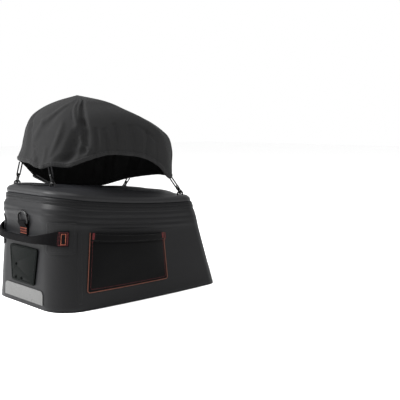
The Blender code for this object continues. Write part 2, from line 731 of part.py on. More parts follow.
def make_reflector_strip(mat):
    high = STRIP_LOW + STRIP_HEIGHT
    outer, inner = [], []
    rows = [(STRIP_LOW, STRIP_WIDTH / 2)]
    rows += [row for row in rounded_rows(STRIP_LOW, high, STRIP_WIDTH / 2, STRIP_WIDTH / 2, STRIP_ROUND, 3)[4:]]
    for z, reach in rows:
        spots = [reach * (1 - 2 * step / 8) for step in range(9)]
        outer.append([wall_point(abs(s), z, GAP + STRIP_THICKNESS, 1 if s > 0 else -1) for s in spots])
        inner.append([wall_point(abs(s), z, GAP, 1 if s > 0 else -1) for s in spots])
    return add_solid("reflector_strip", *slab(outer, inner), mat)


# Cover

def cover_angles():
    """Angles round the mouth, finer on the near side where the gathers are."""
    angles = [float(a) for a in range(0, 182, 12)]
    angles += [188 + 3.2 * step for step in range(48)]
    angles.append(350.0)
    return angles


def hem_height(angle):
    return REAR_HEIGHT + COVER_RISE * smooth_value(HEM, "angle", "height", angle % 360)


def fold_push(angle, level):
    push = 0.0
    for fold in FOLDS:
        centre = fold.angle + fold.slant * (level - 0.5)
        distance = (angle - centre + 180) % 360 - 180
        middle, reach = (fold.low + fold.high) / 2, (fold.high - fold.low) / 2
        push -= fold.depth * smooth_bump(distance / fold.width) * smooth_bump((level - middle) / reach)
    return FOLD_DEPTH * push


def cover_point(angle, level, out=0.0):
    half = COVER_LENGTH / 2
    rear = COVER_MIDDLE - half * smooth_value(COVER, "height", "rear", level)
    front = COVER_MIDDLE + half * smooth_value(COVER, "height", "front", level)
    width = COVER_WIDTH / 2 * smooth_value(COVER, "height", "width", level)
    turn = math.radians(angle)
    power = 2 / COVER_SQUARENESS
    across = math.copysign(abs(math.cos(turn))**power, math.cos(turn))
    aside = math.copysign(abs(math.sin(turn))**power, math.sin(turn))
    push = fold_push(angle, level) + out
    x = (rear + front) / 2 + ((front - rear) / 2 + push) * across
    y = (width + push) * aside
    low = hem_height(angle)
    return Vector((x, y, low + (COVER_TOP - low) * level))


def make_cover_shell(mat):
    levels = [0.0, 0.08, 0.17, 0.27, 0.38, 0.50, 0.62, 0.73, 0.83, 0.91, 0.97]
    angles = cover_angles()
    rings = [[cover_point(angle, level) for angle in angles] for level in levels]
    count = len(angles)
    vertices = [point for ring in rings for point in ring]
    apex = Vector((COVER_MIDDLE - COVER_LENGTH / 2 * COVER[-1].rear, 0, COVER_TOP))
    vertices.append(apex)
    faces = []
    for low in range(len(rings) - 1):
        for step in range(count):
            after = (step + 1) % count
            faces.append((low * count + step, low * count + after,
                          (low + 1) * count + after, (low + 1) * count + step))
    top = (len(rings) - 1) * count
    faces += [(top + step, top + (step + 1) % count, len(vertices) - 1) for step in range(count)]
    shell = add_solid("cover_shell", vertices, faces, mat)
    wall = shell.modifiers.new("wall", "SOLIDIFY")
    wall.thickness = COVER_WALL
    wall.offset = -1
    return shell


def hem_centre(angle):
    edge = cover_point(angle, 0.0, -COVER_WALL / 2)
    return edge - Vector((0, 0, HEM_HEIGHT / 2 + HEM_CLEARANCE))


def make_cover_hem(mat):
    points = [hem_centre(angle) for angle in cover_angles()]
    return add_solid("cover_hem", *tube(points, (HEM_THICKNESS / 2, HEM_HEIGHT / 2), 6, closed=True), mat)


# Corners: elastic loop, clip and anchor

def corner_frame(corner):
    """Foot, anchor bar, hem point, and the directions along and through a corner's clip."""
    ring = plan_point(corner.end, corner.share, REAR_HEIGHT, -corner.inset, corner.side)
    foot = Vector((ring.x, ring.y, lid_top(ring.x, ring.y)))
    bar = foot + Vector((0, 0, ANCHOR_HEIGHT))
    hem = hem_centre(corner.hem_angle)
    hem = hem - Vector((0, 0, HEM_HEIGHT / 2 + GAP))
    along = (hem - bar).normalized()
    sideways = Vector((0, 0, 1))
    if abs(along.z) > STEEP:
        middle = (front_x(REAR_HEIGHT) + rear_x(REAR_HEIGHT)) / 2
        sideways = Vector((foot.x - middle, foot.y, 0)).normalized()
    flat = along.cross(sideways).normalized()
    return foot, bar, hem, along, flat


def height_on(solid, x, y):
    """Height of a solid's upper surface over a point."""
    above = Vector((x, y, COVER_TOP))
    return solid.ray_cast(above, Vector((0, 0, -1)))[1].z


def make_anchor(name, corner, lid, mat):
    """Staple shaped loop whose two feet stand on the lid."""
    foot, bar, hem, along, flat = corner_frame(corner)
    level = Vector((flat.x, flat.y, 0)).normalized()
    half, radius = ANCHOR_WIDTH / 2, ANCHOR_HEIGHT * 0.5
    path = []
    for side in (1, -1):
        spot = foot + level * half * side
        under = [height_on(lid, spot.x + ANCHOR_WIRE / 2 * a, spot.y + ANCHOR_WIRE / 2 * b)
                 for a, b in ((1, 0), (-1, 0), (0, 1), (0, -1))]
        spot.z = max(under) + ANCHOR_CLEARANCE
        arc = []
        for turn in (0, 30, 60, 90):
            a = math.radians(turn)
            arc.append(foot + level * side * (half - radius + radius * math.cos(a))
                       + Vector((0, 0, ANCHOR_HEIGHT - radius + radius * math.sin(a))))
        path += ([spot] + arc) if side > 0 else (arc[::-1] + [spot])
    return add_solid(name, *tube(path, ANCHOR_WIRE / 2, 6, across_of(level)), mat)


def across_of(level):
    return Vector((-level.y, level.x, 0))


def make_clip(name, corner, mat):
    """Flat hook: an eye for the elastic loop above, a round mouth for the anchor below."""
    foot, bar, hem, along, flat = corner_frame(corner)
    across = flat.cross(along).normalized()
    half = CLIP_WIDTH / 2
    mouth = CLIP_MOUTH / 2
    eye_at = CLIP_LENGTH - 2 * half
    outer = []
    for step in range(9):
        a = math.radians(180 + 180 * step / 8 - 0)
        outer.append((half * math.cos(a), half * math.sin(a)))
    for step in range(9):
        a = math.radians(180 * step / 8)
        outer.append((half * math.cos(a), eye_at + half * math.sin(a)))
    clip = plate(name, outer, bar, across, along, flat, CLIP_THICKNESS, mat)
    eye = [(CLIP_EYE / 2 * math.cos(2 * math.pi * s / 10), eye_at + CLIP_EYE / 2 * math.sin(2 * math.pi * s / 10))
           for s in range(10)]
    hole = [(mouth * math.cos(2 * math.pi * s / 10), mouth * math.sin(2 * math.pi * s / 10)) for s in range(10)]
    gate = [(0, -mouth * 0.1), (half * 1.4, -mouth * 0.1), (half * 1.4, mouth * 1.1), (0, mouth * 1.1)]
    for label, shape in (("eye", eye), ("mouth", hole), ("gate", gate)):
        cutter = plate(name + "_" + label, shape, bar, across, along, flat, CLIP_THICKNESS * 2, mat)
        cutter.hide_render = True
        cutter.display_type = "WIRE"
        cut = clip.modifiers.new(label, "BOOLEAN")
        cut.operation = "DIFFERENCE"
        cut.object = cutter
    return clip


def plate(name, outline, origin, right, up, normal, thickness, mat):
    """Flat plate of an outline given anticlockwise in the plane of right and up."""
    count = len(outline)
    if right.cross(up).dot(normal) < 0:
        normal = -normal
    low = [origin + right * a + up * b - normal * thickness / 2 for a, b in outline]
    high = [origin + right * a + up * b + normal * thickness / 2 for a, b in outline]
    faces = [tuple(range(count))[::-1], tuple(range(count, 2 * count))]
    for step in range(count):
        after = (step + 1) % count
        faces.append((step, after, after + count, step + count))
    return add_solid(name, low + high, faces, mat)


def leg_length(corner, eye, along, start):
    """Length of a loop's leg that ends just under the hem over its own place."""
    reach = CORD_DIAMETER / 2 + HEM_THICKNESS / 2
    low = hem_centre(corner.hem_angle).z
    stations = [hem_centre(angle) for angle in cover_angles()]
    for first, second in zip(stations, stations[1:]):
        for share in (0.0, 0.125, 0.25, 0.375, 0.5, 0.625, 0.75, 0.875):
            centre = first.lerp(second, share)
            top = start + along * ((centre.z - start.z) / along.z)
            if Vector((top.x - centre.x, top.y - centre.y)).length < reach:
                low = min(low, centre.z)
    slope = math.sqrt(1 - along.z**2)
    height = low - HEM_HEIGHT / 2 - 2.2 * LOOP_CLEARANCE - CORD_DIAMETER / 2 * slope - start.z
    return height / along.z


def make_corner_loop(name, corner, mat):
    """Elastic loop: both ends leave the hem and its bend passes through the clip's eye."""
    foot, bar, hem, along, flat = corner_frame(corner)
    across = flat.cross(along).normalized()
    half = CLIP_THICKNESS / 2 + CORD_DIAMETER / 2 + LOOP_CLEARANCE
    eye = bar + along * (CLIP_LENGTH - CLIP_WIDTH)
    path = []
    for side in (1, -1):
        leg = []
        length = leg_length(corner, eye, along, eye + flat * side * half)
        for share in (1.0, 0.75, 0.5):
            leg.append(eye + along * length * share + flat * side * half)
        path += leg if side > 0 else leg[::-1]
        if side > 0:
            rise = half - CORD_DIAMETER / 4
            for turn in (0, 30, 60, 90, 120, 150, 180):
                a = math.radians(turn)
                path.append(eye + flat * half * math.cos(a) + along * (rise - half * math.sin(a)))
    return add_solid(name, *tube(path, CORD_DIAMETER / 2, 6, across), mat)


# Cords on the lid

def lid_spot(route_point, lid):
    """A route's point in metres: shares of the lid's length and width, height in diameters."""
    along, aside, above = route_point
    length = front_x(REAR_HEIGHT) - rear_x(REAR_HEIGHT)
    middle = (front_x(REAR_HEIGHT) + rear_x(REAR_HEIGHT)) / 2
    x, y = middle + along * length, aside * 2 * half_width(REAR_HEIGHT)
    return Vector((x, y, height_on(lid, x, y) + GAP + above * CORD_DIAMETER))


def smooth_route(points, spacing):
    """Evenly spaced points on a smooth curve through a route's points."""
    dense = []
    for index in range(len(points) - 1):
        before, low = points[max(index - 1, 0)], points[index]
        high, after = points[index + 1], points[min(index + 2, len(points) - 1)]
        for step in range(12):
            t = step / 12
            dense.append(0.5 * (2 * low + (high - before) * t + (2 * before - 5 * low + 4 * high - after) * t * t
                                + (3 * low - before - 3 * high + after) * t**3))
    dense.append(points[-1])
    kept = [dense[0]]
    for point in dense[1:-1]:
        if (point - kept[-1]).length >= spacing:
            kept.append(point)
    kept.append(dense[-1])
    return kept


def make_cord(name, route, lid, mat):
    points = smooth_route([lid_spot(point, lid) for point in route], CORD_DIAMETER * 2.2)
    curve = bpy.data.curves.new(name, "CURVE")
    curve.dimensions = "3D"
    curve.bevel_depth = CORD_DIAMETER / 2
    curve.bevel_resolution = 2
    curve.use_fill_caps = True
    spline = curve.splines.new("POLY")
    spline.points.add(len(points) - 1)
    for target, point in zip(spline.points, points):
        target.co = (*point, 1.0)
    curve.materials.append(mat)
    obj = bpy.data.objects.new(name, curve)
    bpy.context.scene.collection.objects.link(obj)
    return obj


def main():
    clear_scene()
    coated = material("coated_fabric", (0.030, 0.030, 0.032), 0.62)
    smooth_cloth = material("pocket_fabric", (0.012, 0.012, 0.013), 0.55)
    webbing = material("webbing", (0.018, 0.018, 0.019), 0.75)
    piping = material("orange_piping", (0.70, 0.22, 0.08), 0.60)
    rubber = material("light_panel_rubber", (0.028, 0.029, 0.031), 0.55)
    reflective = material("reflective_film", (0.72, 0.73, 0.74), 0.35)
    plastic = material("black_plastic", (0.012, 0.012, 0.013), 0.30)
    stretch = material("stretch_fabric", (0.014, 0.014, 0.015), 0.85)
    hem = material("hem_elastic", (0.030, 0.030, 0.031), 0.80)
    elastic = material("elastic_cord", (0.010, 0.010, 0.011), 0.75)

    make_body_shell(coated)
    lid = make_lid(coated)
    bpy.context.view_layer.update()
    make_zip_tape(smooth_cloth)
    make_pocket(smooth_cloth)
    make_pocket_piping(piping)
    make_handle_patch("handle_patch_near", -1, coated)
    make_handle_patch("handle_patch_far", 1, coated)
    make_grab_handle(webbing)
    make_tab_and_ring(webbing, plastic)
    make_light_panel(rubber)
    make_reflector_strip(reflective)
    make_cover_shell(stretch)
    make_cover_hem(hem)
    for number, corner in enumerate(CORNERS, start=1):
        make_anchor("lid_anchor_%d" % number, corner, lid, plastic)
        make_clip("corner_clip_%d" % number, corner, plastic)
        make_corner_loop("corner_loop_%d" % number, corner, elastic)
    make_cord("lid_cord", LID_CORD_ROUTE, lid, elastic)
    make_cord("pull_loop", PULL_LOOP_ROUTE, lid, elastic)


main()
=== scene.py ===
# %% [markdown]
# # A bicycle trunk bag with a stretch cover
#
# The bag is one tapered tub of coated fabric with a padded lid, and over the lid a stretch cover
# is hooked down at four corners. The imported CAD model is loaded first, as a frame that is never
# moved. Every piece here is built round it, in metres, with +X to the bag's front, +Y to its left
# and +Z up.

# %% Load the frame
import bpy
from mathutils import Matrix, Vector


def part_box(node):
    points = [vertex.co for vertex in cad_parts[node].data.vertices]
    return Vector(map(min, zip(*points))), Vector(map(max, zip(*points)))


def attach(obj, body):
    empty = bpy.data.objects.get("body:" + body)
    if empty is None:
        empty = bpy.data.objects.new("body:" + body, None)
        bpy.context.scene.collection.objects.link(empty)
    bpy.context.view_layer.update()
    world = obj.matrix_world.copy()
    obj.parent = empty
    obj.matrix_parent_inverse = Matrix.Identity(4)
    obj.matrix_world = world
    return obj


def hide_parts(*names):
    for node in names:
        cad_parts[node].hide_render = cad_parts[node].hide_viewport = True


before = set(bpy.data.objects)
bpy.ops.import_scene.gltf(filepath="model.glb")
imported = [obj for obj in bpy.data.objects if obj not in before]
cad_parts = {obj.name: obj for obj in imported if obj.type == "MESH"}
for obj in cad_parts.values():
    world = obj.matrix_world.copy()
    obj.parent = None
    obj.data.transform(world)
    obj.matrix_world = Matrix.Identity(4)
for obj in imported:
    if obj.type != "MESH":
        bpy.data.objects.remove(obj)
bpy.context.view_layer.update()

import math
import random
from collections import namedtuple
from contextlib import contextmanager

import bmesh
import bpy
from mathutils import Vector

# %% [markdown]
# ## Camera
#
# The picture was taken with a long lens from behind the near rear corner, a little above the lid.
# A camera needs a place and a direction; the lens sets how much it sees. The direction is turned
# into a rotation with to_track_quat, because a camera looks along its own -Z.

# %% Camera
scene = bpy.context.scene


def link(name, data):
    """A new object with this data, put in the scene."""
    obj = bpy.data.objects.new(name, data)
    scene.collection.objects.link(obj)
    return obj


CAMERA_AT = Vector((-0.7616, -1.0478, 0.3015))
CAMERA_LOOK = Vector((0.6854, 0.7202, -0.1071))
lens = bpy.data.cameras.new("camera")
lens.lens = 63.0
lens.sensor_width = 36.0
lens.clip_start = 0.01
camera = link("camera", lens)
camera.location = CAMERA_AT
camera.rotation_euler = CAMERA_LOOK.to_track_quat("-Z", "Y").to_euler()
scene.camera = camera
print("camera is %.2f m from the bag" % CAMERA_AT.length)

# %% [markdown]
# ## Cords
#
# Two thin elastic cords lie on the lid: one crosses its rear edge between two anchors, and one
# stands up as a narrow pull loop. A cord is a curve through the points of its route, with a round
# bevel as its thickness. The routes are the ones that the CAD solids follow.

# %% Cord curves
CORD_DIAMETER = 0.0024
LID_CORD_POINTS = (
    (-0.1445, 0.0755, 0.1985), (-0.1516, 0.0664, 0.1997), (-0.1564, 0.0543, 0.2006),
    (-0.1599, 0.0382, 0.2004), (-0.1587, 0.0221, 0.2010), (-0.1564, 0.0060, 0.2020),
    (-0.1581, -0.0101, 0.2015), (-0.1564, -0.0242, 0.2017), (-0.1516, -0.0362, 0.2020),
    (-0.1459, -0.0433, 0.2025))
PULL_LOOP_POINTS = (
    (-0.1388, -0.0413, 0.2022), (-0.1402, -0.0332, 0.2041), (-0.1417, -0.0221, 0.2079),
    (-0.1431, -0.0101, 0.2117), (-0.1439, 0.0000, 0.2150), (-0.1479, 0.0044, 0.2159),
    (-0.1525, 0.0004, 0.2149), (-0.1522, -0.0101, 0.2122), (-0.1502, -0.0211, 0.2089),
    (-0.1473, -0.0322, 0.2057), (-0.1417, -0.0393, 0.2073))


def smooth_path(points, steps=4):
    """Points on a smooth curve that passes through the given ones."""
    dense = []
    for index in range(len(points) - 1):
        before, low = Vector(points[max(index - 1, 0)]), Vector(points[index])
        high, after = Vector(points[index + 1]), Vector(points[min(index + 2, len(points) - 1)])
        for step in range(steps):
            t = step / steps
            bend, twist = 2 * before - 5 * low + 4 * high - after, 3 * low - before - 3 * high + after
            dense.append(0.5 * (2 * low + (high - before) * t + bend * t * t + twist * t**3))
    return dense + [Vector(points[-1])]


def path_length(points):
    return sum((b - a).length for a, b in zip(points, points[1:]))


def make_cord(node, points):
    name = "elastic_" + node
    curve = bpy.data.curves.new(name, "CURVE")
    curve.dimensions = "3D"
    curve.bevel_depth = 0.5          # times each point's radius, which is the cord's diameter
    curve.bevel_resolution = 4
    curve.use_fill_caps = True
    spline = curve.splines.new("POLY")
    spline.points.add(len(points) - 1)
    for target, point in zip(spline.points, points):
        target.co = (*point, 1.0)
        target.radius = CORD_DIAMETER
    obj = link(name, curve)
    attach(obj, "bag")
    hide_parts(node)
    round(path_length(points), 4)
    print(name, "is %.0f mm long" % (1000 * path_length(points)))
    return obj


lid_cord = make_cord("lid_cord", smooth_path(LID_CORD_POINTS))
pull_loop = make_cord("pull_loop", smooth_path(PULL_LOOP_POINTS))

# %% [markdown]
# ## Light and floor
#
# The light is that of a white studio: a bright world, a large soft lamp behind the bag's rear
# left, which turns the coated fabric grey there, and a weaker one overhead. The floor is one wide
# pale plane, which isn't part of the bag.

# %% Light and floor
scene.view_settings.view_transform = "Standard"
world = bpy.data.worlds.new("studio")
scene.world = world
world.use_nodes = True
backdrop = world.node_tree.nodes["Background"]
backdrop.inputs["Color"].default_value = (1.0, 1.0, 1.0, 1.0)
backdrop.inputs["Strength"].default_value = 1.0


def lamp(name, place, aim, size, power):
    light = bpy.data.lights.new(name, "AREA")
    light.shape = "RECTANGLE"
    light.size, light.size_y = size
    light.energy = power
    obj = link(name, light)
    obj.location = place
    obj.rotation_euler = (Vector(aim) - Vector(place)).to_track_quat("-Z", "Y").to_euler()
    print(name, power, "W")


lamp("key", (-1.55, 0.70, 1.25), (0, 0, 0.15), (0.8, 1.0), 105)
lamp("top", (-0.25, -0.45, 1.80), (0, 0, 0.20), (0.9, 0.9), 24)

bpy.ops.mesh.primitive_grid_add(x_subdivisions=2, y_subdivisions=2, size=16.0, location=(0, 0, -0.0005))
floor = bpy.context.object
floor.name = "floor"
floor_paint = bpy.data.materials.new("floor_paint")
floor_paint.use_nodes = True
floor_shader = floor_paint.node_tree.nodes["Principled BSDF"]
floor_shader.inputs["Base Color"].default_value = (0.97, 0.97, 0.97, 1.0)
floor_shader.inputs["Roughness"].default_value = 0.9
floor.data.materials.append(floor_paint)

# %% [markdown]
# ## A small language for materials
#
# A material is a graph of nodes. Its maths is easier to read as a formula, so one small class
# wraps a socket and adds a Math node for each operator. Any other node comes from one method that
# takes its type, its settings and the values or links of its sockets.

# %% Shader maths
class Value:
    """A number that varies over a surface: maths on it adds Math nodes."""

    def __init__(self, finish, socket):
        self.finish, self.socket = finish, socket

    def maths(self, operation, *others):
        return self.finish.node("ShaderNodeMath", {"operation": operation}, (self,) + others)

    def __add__(self, other): return self.maths("ADD", other)
    def __radd__(self, other): return self.maths("ADD", other)
    def __mul__(self, other): return self.maths("MULTIPLY", other)
    def __rmul__(self, other): return self.maths("MULTIPLY", other)
    def __sub__(self, other): return self.maths("SUBTRACT", other)
    def __rsub__(self, other): return self.maths("MULTIPLY", -1.0).maths("ADD", other)

    def clamp(self):
        return self.maths("MAXIMUM", 0.0).maths("MINIMUM", 1.0)


class Finish:
    """One material: its fixed values, and the nodes that vary it."""

    def __init__(self, name, colour, roughness, **fixed):
        self.material = bpy.data.materials.new(name)
        self.material.use_nodes = True
        self.tree = self.material.node_tree
        self.shader = self.tree.nodes["Principled BSDF"]
        self.colour, self.roughness = colour, roughness
        self.shader.inputs["Base Color"].default_value = (*colour, 1.0)
        self.shader.inputs["Roughness"].default_value = roughness
        for key, value in fixed.items():
            self.shader.inputs[key.replace("_", " ").title().replace("Ior", "IOR")].default_value = value
        print("finish", name)

    def node(self, kind, settings, values, output=0):
        made = self.tree.nodes.new(kind)
        for key, value in settings.items():
            setattr(made, key, value)
        pairs = values.items() if isinstance(values, dict) else enumerate(values)
        for key, value in pairs:
            if isinstance(value, Value):
                self.tree.links.new(value.socket, made.inputs[key])
            elif value is not None:
                made.inputs[key].default_value = value
        return Value(self, made.outputs[output])

    def place(self, source="Object", turn=(0, 0, 0)):
        """Coordinates in metres, on the object or on its own UV map."""
        at = self.node("ShaderNodeTexCoord", {}, {}, source)
        return self.node("ShaderNodeMapping", {}, {"Vector": at, "Rotation": turn})

    def noise(self, at, scale, detail=2.0, rough=0.5):
        return self.node("ShaderNodeTexNoise", {}, {"Vector": at, "Scale": scale, "Detail": detail,
                                                    "Roughness": rough}, "Fac")

    def wave(self, at, scale, direction="X", profile="SIN", distort=0.0):
        return self.node("ShaderNodeTexWave", {"bands_direction": direction, "wave_profile": profile},
                         {"Vector": at, "Scale": scale, "Distortion": distort, "Detail Scale": 2.0}, "Fac")

    def tone(self, share, low, high):
        """Sets the colour between two shades of the base, by a share from 0 to 1."""
        dark = tuple(c * low for c in self.colour) + (1.0,)
        light = tuple(min(c * high, 1.0) for c in self.colour) + (1.0,)
        mixed = self.node("ShaderNodeMix", {"data_type": "RGBA"}, {0: share, 6: dark, 7: light}, 2)
        self.tree.links.new(mixed.socket, self.shader.inputs["Base Color"])

    def rough(self, share, low, high):
        value = share * (high - low) + low
        self.tree.links.new(value.socket, self.shader.inputs["Roughness"])

    def bump(self, height, depth, strength=1.0):
        """Relief: height from 0 to 1, depth in metres."""
        made = self.node("ShaderNodeBump", {}, {"Height": height, "Distance": depth, "Strength": strength})
        self.tree.links.new(made.socket, self.shader.inputs["Normal"])


# %% [markdown]
# ## Weaves
#
# Cloth is two sets of threads that cross. Two wave textures at right angles, on a UV map measured
# in metres, give their rounded tops, and the mean of the two puts a small hill where they cross.
# Wave's scale counts 2 pi per turn, so a pitch in metres is turned into a scale once, here.

# %% Weave helper
def bands(pitch):
    """Wave scale for one band every pitch metres."""
    return 2 * math.pi / pitch / 20.0


def weave(finish, at, pitch):
    """Height of plain woven threads, one every pitch metres both ways."""
    return finish.wave(at, bands(pitch), "X") * 0.5 + finish.wave(at, bands(pitch), "Y") * 0.5


def steps(value, low, high):
    """A share that rises from 0 at low to 1 at high."""
    return ((value - low) * (1.0 / (high - low))).clamp()


# %% [markdown]
# ## The tub's walls as functions
#
# Every piece of the bag lies on the same tapered wall, so the wall is written once, as functions
# of height. They give the rear, front and side planes, the rim that falls forward, and a point of
# the outline at any height and distance outside it. The sizes are the CAD model's own.

# %% Wall sizes and functions
BAG_LENGTH, BAG_WIDTH, REAR_HEIGHT = 0.355, 0.230, 0.1980
RIM_LEAN, RIM_SAG = 0.0900, 0.0056
REAR_LEAN, SIDE_LEAN, FRONT_LEAN = 0.0518, 0.0725, 0.2850
FRONT_TUCK, FRONT_TUCK_FROM = 0.0040, 0.110
REAR_CORNER, FRONT_CORNER, SIDE_BULGE = 0.0506, 0.0292, 0.0044
BASE_ROUND, BODY_WALL = 0.006, 0.0026
CUFF_DEPTH, LID_SPLIT, GAP = 0.060, 0.0175, 0.0003


def mix(a, b, share):
    return a + (b - a) * share


def bell(distance):
    """1 at 0, falling smoothly to 0 at 1 and beyond."""
    return 0.5 + 0.5 * math.cos(math.pi * distance) if abs(distance) < 1.0 else 0.0


def ease(low, high, at):
    """A smooth step from 0 at low to 1 at high."""
    t = min(max((at - low) / (high - low), 0.0), 1.0)
    return t * t * (3 - 2 * t)


def rear_x(z):
    return -BAG_LENGTH / 2 + REAR_LEAN * z


def front_x(z):
    return BAG_LENGTH / 2 - FRONT_LEAN * z - FRONT_TUCK * min(max((z - FRONT_TUCK_FROM) / CUFF_DEPTH, 0), 1)**2


def half_width(z):
    return BAG_WIDTH / 2 - SIDE_LEAN * z


def rim_height(x):
    share = (x - rear_x(REAR_HEIGHT)) / (front_x(REAR_HEIGHT) - rear_x(REAR_HEIGHT))
    share = min(max(share, 0.0), 1.0)
    return REAR_HEIGHT - RIM_LEAN * (x + BAG_LENGTH / 2) - RIM_SAG * 4 * share * (1 - share)


def plan_point(segment, share, z, out=0.0, side=-1):
    back, front, half = rear_x(z), front_x(z), half_width(z)
    turn = math.radians(90 * share)
    if segment == "rear":
        x, y = back - out, share * (half - REAR_CORNER)
    elif segment == "rear_corner":
        x = back + REAR_CORNER - (REAR_CORNER + out) * math.cos(turn)
        y = half - REAR_CORNER + (REAR_CORNER + out) * math.sin(turn)
    elif segment == "side":
        x = mix(back + REAR_CORNER, front - FRONT_CORNER, share)
        y = half + SIDE_BULGE * 4 * share * (1 - share) + out
    elif segment == "front_corner":
        x = front - FRONT_CORNER + (FRONT_CORNER + out) * math.sin(turn)
        y = half - FRONT_CORNER + (FRONT_CORNER + out) * math.cos(turn)
    else:
        x, y = front + out, (1 - share) * (half - FRONT_CORNER)
    return Vector((x, side * y, z))


# %% [markdown]
# ## Relief of the soft walls
#
# The upper 60 mm of the tub is softer than the rest: it swells a little and creases in lines that
# run parallel with the rim. The creases are a short table of depths under the rim. Slow waves
# along the wall keep the lines from being drawn with a ruler, as real cloth does.

# %% Crease tables
Crease = namedtuple("Crease", "depth width relief start end")
CREASES = (      # metres under the rim, half width, height (+ out), from X to X
    Crease(0.0235, 0.0030, 0.0010, -0.18, 0.12), Crease(0.0275, 0.0028, -0.0010, -0.18, 0.14),
    Crease(0.0318, 0.0035, 0.0010, -0.12, 0.14), Crease(0.0372, 0.0032, -0.0011, -0.18, 0.13),
    Crease(0.0415, 0.0040, 0.0011, -0.09, 0.13), Crease(0.0465, 0.0036, -0.0014, -0.18, 0.10),
    Crease(0.0510, 0.0036, 0.0009, -0.15, 0.12), Crease(0.0560, 0.0035, -0.0006, -0.15, 0.11))
CUFF_SWELL, REAR_SWELL = 0.0024, 0.0026
waves = random.Random(11)
WALL_WAVES = [(waves.uniform(9, 60), waves.uniform(0, 6.3), waves.uniform(20, 90), waves.uniform(0, 6.3))
              for _ in range(14)]


def slow_noise(a, b):
    """A smooth random value from about -1 to 1 over a wall's two distances in metres."""
    total = 0.0
    for k, (fa, pa, fb, pb) in enumerate(WALL_WAVES):
        drift = 0.6 * math.sin(fb * b * 0.5 + pb)
        total += math.sin(fa * a + pa + drift) * math.cos(fb * b + pb) / (1 + 0.15 * k)
    return total / 5.0


def cuff_relief(depth, x, y):
    """How far the soft upper zone stands out of the straight wall."""
    forward = min(max((x + BAG_LENGTH / 2) / BAG_LENGTH, 0.0), 1.0)
    zone = ease(0.0195, 0.030, depth) * (1 - ease(0.049, 0.062, depth))
    push = CUFF_SWELL * zone * mix(1.0, 0.35, forward)
    push += REAR_SWELL * ease(0.021, 0.033, depth) * (1 - ease(0.041, 0.051, depth)) * (1 - ease(-0.17, -0.125, x))
    drift = 0.0016 * slow_noise(x * 0.5, y * 0.4 + depth * 0.2)
    for crease in CREASES:
        along = bell((x - (crease.start + crease.end) / 2) / ((crease.end - crease.start) / 2 * 1.25))
        fade = min(1.0, 1.6 * along) * mix(1.0, 0.55, forward)
        push += crease.relief * fade * bell((depth - crease.depth - drift) / crease.width)
    push += 0.0011 * zone * slow_noise(x * 1.6 + y, depth * 3.0) * mix(1.0, 0.4, forward)
    return push


def wall_relief(x, y, z, depth):
    """All relief of the tub: the cuff's creases above, and slow unevenness below."""
    push = cuff_relief(depth, x, y)
    if z < rim_height(x) - CUFF_DEPTH:
        push += 0.0007 * slow_noise(x * 0.7 + y, z * 0.8) * ease(0.0, 0.03, z)
    return push


def wall_point(along, z, out=0.0, side=-1):
    """Point on the wall at a distance along it from the rear's middle, and a height."""
    flat, arc = half_width(z) - REAR_CORNER, REAR_CORNER * math.pi / 2
    if along < flat:
        segment, share = "rear", along / flat
    elif along < flat + arc:
        segment, share = "rear_corner", (along - flat) / arc
    else:
        length = front_x(z) - FRONT_CORNER - rear_x(z) - REAR_CORNER
        segment, share = "side", (along - flat - arc) / length
    base = plan_point(segment, share, z, 0.0, side)
    return plan_point(segment, share, z, out + wall_relief(base.x, base.y, z, rim_height(base.x) - z), side)


def corner_along(angle, z):
    return half_width(z) - REAR_CORNER + REAR_CORNER * math.radians(angle)


# %% [markdown]
# ## Grids
#
# Most pieces are a grid of points, rows of equal length, so one helper turns a grid into a mesh
# and lays a UV map on it in metres, measured along its rows and columns. A weave on that map keeps
# its real size everywhere. A second helper gives a cloth patch its thickness and a soft edge.

# %% Mesh helpers
def grid_faces(rows, columns, wrap_columns=False, wrap_rows=False):
    faces = []
    for r in range(rows if wrap_rows else rows - 1):
        for c in range(columns if wrap_columns else columns - 1):
            r2, c2 = (r + 1) % rows, (c + 1) % columns
            faces.append((r * columns + c, r * columns + c2, r2 * columns + c2, r2 * columns + c))
    return faces


def grid_uv(mesh, rows):
    """UV in metres along the middle row and each column, without a jump at the closing strip."""
    count, width = len(rows), len(rows[0])
    middle = rows[count // 2]
    u = [0.0]
    for c in range(width):
        u.append(u[-1] + (middle[(c + 1) % width] - middle[c]).length)
    v = [0.0]
    for r in range(count):
        v.append(v[-1] + (rows[(r + 1) % count][width // 3] - rows[r][width // 3]).length)
    layer = mesh.uv_layers.new(name="UVMap")
    for polygon in mesh.polygons:
        spots = [divmod(mesh.loops[i].vertex_index, width) for i in polygon.loop_indices]
        low_c, low_r = min(c for _, c in spots), min(r for r, _ in spots)
        high_c, high_r = max(c for _, c in spots), max(r for r, _ in spots)
        for i, (r, c) in zip(polygon.loop_indices, spots):
            cc = c + width if high_c - low_c > 1 and c == low_c else c
            rr = r + count if high_r - low_r > 1 and r == low_r else r
            layer.data[i].uv = (u[min(cc, width)], v[min(rr, count)])


def grid_piece(name, rows, finish, wrap_columns=False, wrap_rows=False):
    mesh = bpy.data.meshes.new(name)
    faces = grid_faces(len(rows), len(rows[0]), wrap_columns, wrap_rows)
    mesh.from_pydata([tuple(p) for row in rows for p in row], [], faces)
    mesh.materials.append(finish.material)
    mesh.shade_smooth()
    grid_uv(mesh, rows)
    return link(name, mesh)


def evaluated_mesh(obj):
    """A new mesh of the object with its modifiers, or its curve, worked out."""
    bpy.context.view_layer.update()
    graph = bpy.context.evaluated_depsgraph_get()
    return bpy.data.meshes.new_from_object(obj.evaluated_get(graph))


